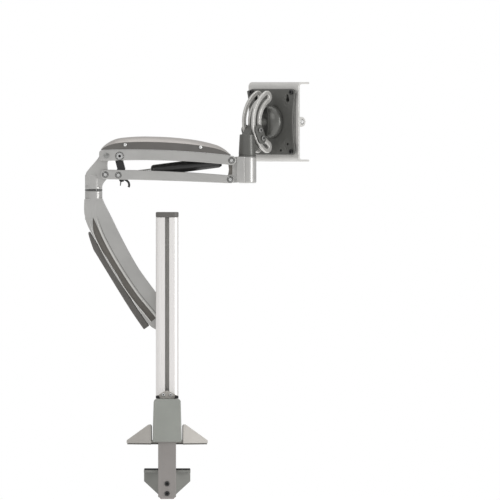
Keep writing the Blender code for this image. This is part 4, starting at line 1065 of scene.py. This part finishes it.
def make_tilt_frame():
    """Two slotted rails, the bridge that joins them and the hub that the plate rolls on."""
    for sign, side in ((-1, "left"), (1, "right")):
        place = head_frame(sign * RAIL_AT)
        node = f"tilt_rail_{side}"
        rail = prism(node, banana(RAIL_R, RAIL_HALF, RAIL_END), RAIL_T, place)
        cut(rail, prism("rail_slot", banana(RAIL_R, SLOT_HALF, RAIL_END - 0.02), 20, place))
        bevel(rail, 1.5, 4, 50)
    half = RAIL_AT - RAIL_T / 2 - GAP
    deg = math.degrees(RAIL_END)
    radius = HUB_R
    dome = [(0, 34), (7.9, 34), (7.9, 20), (11, 19.6), (radius * 0.62, 18), (radius * 0.86, 14)]
    dome += [(radius - 0.4, 8), (radius, 1.2), (radius - 1, 0.3), (0, 0.3)]
    made = turned("roll_hub", rounded(dome, 3.0, 6), FACE)
    over = [(0, 20.4), (11, 20.4), (radius * 0.63, 19.2), (radius * 0.88, 15.2)]
    over += [(radius - 0.2, 9), (radius - 0.2, 2), (0, 2)]
    lens_r, lens_half = 42.0, 12.5
    lean = math.degrees(math.acos(1 - lens_half / lens_r))
    lens = arc(lens_half - lens_r, 0, lens_r, -lean, lean, 24)
    lens += arc(lens_r - lens_half, 0, lens_r, 180 - lean, 180 + lean, 24)[1:-1]
    ridge = prism("hub_ridge", lens, 60, FACE, 12)
    combine(ridge, "INTERSECT", turned("hub_over", rounded(over, 3.0, 6), FACE))
    weld(made, ridge)
    outline = arc(0, 0, RAIL_R - SLOT_HALF - 1.0, -deg, deg, 40) + arc(0, 0, 33.0, deg, -deg, 40)
    weld(made, prism("rail_bridge", outline, 2 * half, head_frame()))
    bevel(made, 0.5, 2, 40)


def keyhole(x, y):
    """A round hole with a narrow slot above it."""
    slot = [(x - 2.1, y), (x + 2.1, y), *arc(x, y + 7, 2.1, 0, 180, 10)]
    return [hole("keyhole", 3.9, -20, 20, shifted(FACE, x, y)), prism("key_slot", slot, 40, FACE)]


def screw_places():
    """Where the plate's four screws are, in the plate's plane."""
    into = FACE.inverted()
    places = []
    for i in range(4):
        at = into @ (node_centre(f"plate_screw_{i + 1}") * MM)
        places.append((at.x / MM, at.y / MM))
    return places


def make_plate():
    """The head plate with its keyholes and four screws."""
    w, h, corner, thick = 53.0, 55.5, 6.0, 4.0
    plate = bevel(prism("head_plate", round_box(w, h, corner), thick, FACE, -thick / 2), 1.5, 4, 50)
    rib_r = 210.0
    reach = math.degrees(math.asin((h - 3) / rib_r))
    for sign in (-1, 1):
        rib = arc(w - 7.5 + rib_r, 0, rib_r - 2.2, 180 - reach, 180 + reach, 24)
        rib += arc(w - 7.5 + rib_r, 0, rib_r + 2.2, 180 + reach, 180 - reach, 24)
        ridge = prism("rib", [(sign * (x + 6.0 - 2.5), y) for x, y in rib], 2.6, FACE, 0.4)
        bevel(ridge, 1.1, 3, 50)
        weld(plate, ridge)
    holes = [*keyhole(PATTERN, PATTERN), *keyhole(-PATTERN, PATTERN)]
    holes += bores("small_hole", 2.2, 20, FACE, ((PATTERN, -PATTERN), (-PATTERN, -PATTERN), EXTRA))
    holes += bores("corner_hole", PLATE_BORE, 20, FACE, screw_places())
    for i, spot in enumerate(screw_places()):
        fastener(f"plate_screw_{i + 1}", shifted(FACE, *spot), 4.2, 0.25, 2.35, 2.1, -9.5)
    cut(plate, *holes)
    dish = [(0, 1), (9.5, 1), (8.6, -0.5), (0, -0.5)]
    for spot in ((PATTERN, PATTERN - 2), (-PATTERN, PATTERN - 2), (PATTERN, -PATTERN)):
        cut(plate, turned("dish", dish, shifted(FACE, *spot)))
    bevel(plate, 0.3, 2, 50)


def make_bracket():
    """The sheet bracket that stays on the monitor, flanged at its top and bottom, with its latch."""
    low, high = node_box("monitor_bracket")
    h, r, sheet, deep, wide = (high.z - low.z) / 2, 8.0, 3.5, 26.0, 120.0
    back = 4.3
    outer = [(-back - deep, h), *arc(-back - r, h - r, r, 90, 0, 12)]
    inner = [(-back - deep, h - sheet), *arc(-back - r, h - r, r - sheet, 90, 0, 12)]
    sides = mirrored(outer, 1, -1) + mirrored(inner, 1, -1)[::-1]
    bracket = bevel(prism("monitor_bracket", sides, wide, head_frame()), 1.1, 4, 50)
    ear = axis_frame(LATCH_AT, SIDE, UP)
    weld(bracket, drum("latch_ear", 8.3, 0, 9, ear, 1.0))
    cut(bracket, *bores("bracket_hole", PLATE_BORE, 20, FACE, screw_places()))
    cut(bracket, hole("latch_bore", 4.6, -4, 20, ear))
    behind = shifted(FACE, 0, 0, -back)
    corners = [(x, y) for y in (PATTERN, -PATTERN) for x in (PATTERN, -PATTERN)]
    # near-black spots on the bracket behind the plate's holes: painted shade seen through them
    for x, y in (*corners, EXTRA):
        cut(bracket, tinted(hole("shade", 5.2, -1.2, 1, shifted(behind, x, y)), "painted_recess_shade"))
        if y > 0:
            cut(bracket, tinted(hole("shade", 3.2, -1.2, 1, shifted(behind, x, y + 7)), "painted_recess_shade"))
    head = [(0, 7.4), (1.6, 7.4), (2.2, 8.6), (3.7, 8.9), (4.2, 8.4), (4.2, -1.2), (0, -1.2)]
    turned("latch_screw", rounded(head, 0.4), ear, FINE)


# ---- pins


def make_pins():
    """The links' pins, the adjuster's bolt across the strut and the cover's screws."""
    upper, lower = half_width("upper_link"), half_width("lower_link")
    repaint(pivot_pin("rear_upper_pin", UP_REAR, upper, ring=False), "dull_steel")
    for node, at, half in (("front_upper_pin", UP_FRONT, upper), ("rear_lower_pin", LOW_REAR, lower),
                           ("front_lower_pin", LOW_FRONT, lower), ("strut_lower_pin", LOW_STRUT, lower)):
        pivot_pin(node, at, half)
    top, low, place = upper + 1.9, upper + 0.25, pin_frame(UP_STRUT)
    side = [(0, top), (6.2, top), (6.2, low), (3.0, low)]
    bolt = turned("adjuster_bolt", rounded(mirrored(side, 1, -1), 0.6), place, FINE)
    # a near-black ring and socket at each end: painted shade in the gap and in the socket
    for sign in (-1, 1):
        cut(bolt, tinted(washer("bolt_ring", 5.1, 5.7, sign * top, 1.6, place), "painted_recess_shade"))
        cut(bolt, hex_socket(2.5, 2.8, place, sign * top))
    for node in ("cover_screw_rear", "cover_screw_front"):
        pivot_pin(node, node_centre(node), upper - 0.5, 2.8, 1.6, False)


# ---- what the frame keeps


def dress_frame():
    """Finishes for the CAD nodes that are shown as they are: the hidden shafts, nuts and bushes."""
    replaced = {piece["node"] for piece in PIECES}
    for name, node in frame["nodes"].items():
        if name in replaced:
            continue
        node.data.materials.clear()
        node.data.materials.append(FINISHES[SLOT_OF[name]])
        node.data.shade_smooth()
        node.data.set_sharp_from_angle(angle=SHARP)
        bevel(node, 0.3, 2, 40)


# ---- stage


FLOOR_R = 1000.0  # small enough to stay below the camera's frame


def make_stage():
    """A round, pale floor below the desk's edge."""
    low = node_box("jaw_strap")[0]
    outline = arc(50, 50, FLOOR_R, 0, 360, 96)[:-1]
    shape = bmesh.new()
    shape.faces.new([shape.verts.new((x * MM, y * MM, (low.z - 30) * MM)) for x, y in outline])
    floor = add_mesh("floor", shape)
    n = Nodes("pale_floor")
    n.link(n.ramp(n.noise(3.0), (0.90, 0.90, 0.90), (0.93, 0.93, 0.93)), n.shader.inputs["Base Color"])
    fill(n.shader, Roughness=0.9, Emission_Color=(1, 1, 1, 1), Emission_Strength=0.35)
    floor.data.materials.append(n.material)


def area_light(name, at, towards, size, energy):
    """A white rectangular light, with its energy in watts."""
    lamp = bpy.data.lights.new(name, "AREA")
    lamp.shape = "RECTANGLE"
    lamp.size, lamp.size_y = size
    lamp.energy = energy
    holder = add_object(name, lamp)
    holder.location = at
    holder.rotation_euler = (Vector(towards) - Vector(at)).to_track_quat("-Z", "Y").to_euler()


def make_lights():
    """A studio: a world that is bright below and grey above, white to the camera, and three lights."""
    world = bpy.data.worlds.new("studio")
    world.use_nodes = True
    nodes, link = world.node_tree.nodes, world.node_tree.links.new
    kinds = ("TexCoord", "SeparateXYZ", "MapRange", "ValToRGB", "Background", "MixShader", "LightPath")
    place, split, height, tone, seen, which, ray = (nodes.new(f"ShaderNode{kind}") for kind in kinds)
    light = nodes["Background"]
    fill(height, From_Min=-1.0)
    fill(light, Strength=0.9)
    fill(seen, Color=(1, 1, 1, 1))
    tone.color_ramp.elements.new(0.5)
    for stop, (at, value) in zip(tone.color_ramp.elements, ((0.46, 1.0), (0.5, 0.44), (0.75, 0.69))):
        stop.position = at
        stop.color = (value, value, value, 1)
    link(place.outputs["Generated"], split.inputs["Vector"])
    link(split.outputs["Z"], height.inputs["Value"])
    link(height.outputs["Result"], tone.inputs["Fac"])
    link(tone.outputs["Color"], light.inputs["Color"])
    link(ray.outputs["Is Camera Ray"], which.inputs["Fac"])
    link(light.outputs["Background"], which.inputs[1])
    link(seen.outputs["Background"], which.inputs[2])
    link(which.outputs["Shader"], nodes["World Output"].inputs["Surface"])
    bpy.context.scene.world = world
    middle = (0.05, 0.05, 0.3)
    area_light("key", (-1.6, -2.4, 2.2), middle, (1.6, 1.6), 14)
    area_light("strip", (1.9, -1.1, 0.6), middle, (0.3, 1.6), 15)
    area_light("top", (0.2, 0.4, 2.6), middle, (2.2, 1.6), 10)
    bpy.context.scene.view_settings.view_transform = "Standard"


CAMERA_FAR = 24.0  # metres
CAMERA_X, CAMERA_Z, CAMERA_DROP = 0.139, 0.6015, 0.276  # its place, and how far its aim falls on the way


def make_camera():
    """A camera in front of the desk's rear edge, far off and looking slightly down."""
    lens = bpy.data.cameras.new("camera")
    lens.lens = 42.8 * CAMERA_FAR
    lens.sensor_width = 36
    lens.clip_end = 50
    camera = add_object("camera", lens)
    camera.location = (CAMERA_X, ARM_Y * MM - CAMERA_FAR, CAMERA_Z)
    camera.rotation_euler = (math.radians(90) - math.atan(CAMERA_DROP / CAMERA_FAR), 0, 0)
    bpy.context.scene.camera = camera


def main():
    """Builds every piece, settles them on their bodies and lights the scene."""
    for make in (make_camera, make_foot, make_block, make_column_key, make_column, make_jaw,
                 make_clamp_screw, make_carriage, make_lower_arm, make_elbow, make_upper_link,
                 make_lower_link, make_top_cover, make_strut, make_gas_spring, make_tip, make_head_post,
                 make_tilt_clamp, make_tilt_frame, make_plate, make_bracket, make_pins, settle, dress_frame,
                 make_stage, make_lights):
        make()


main()
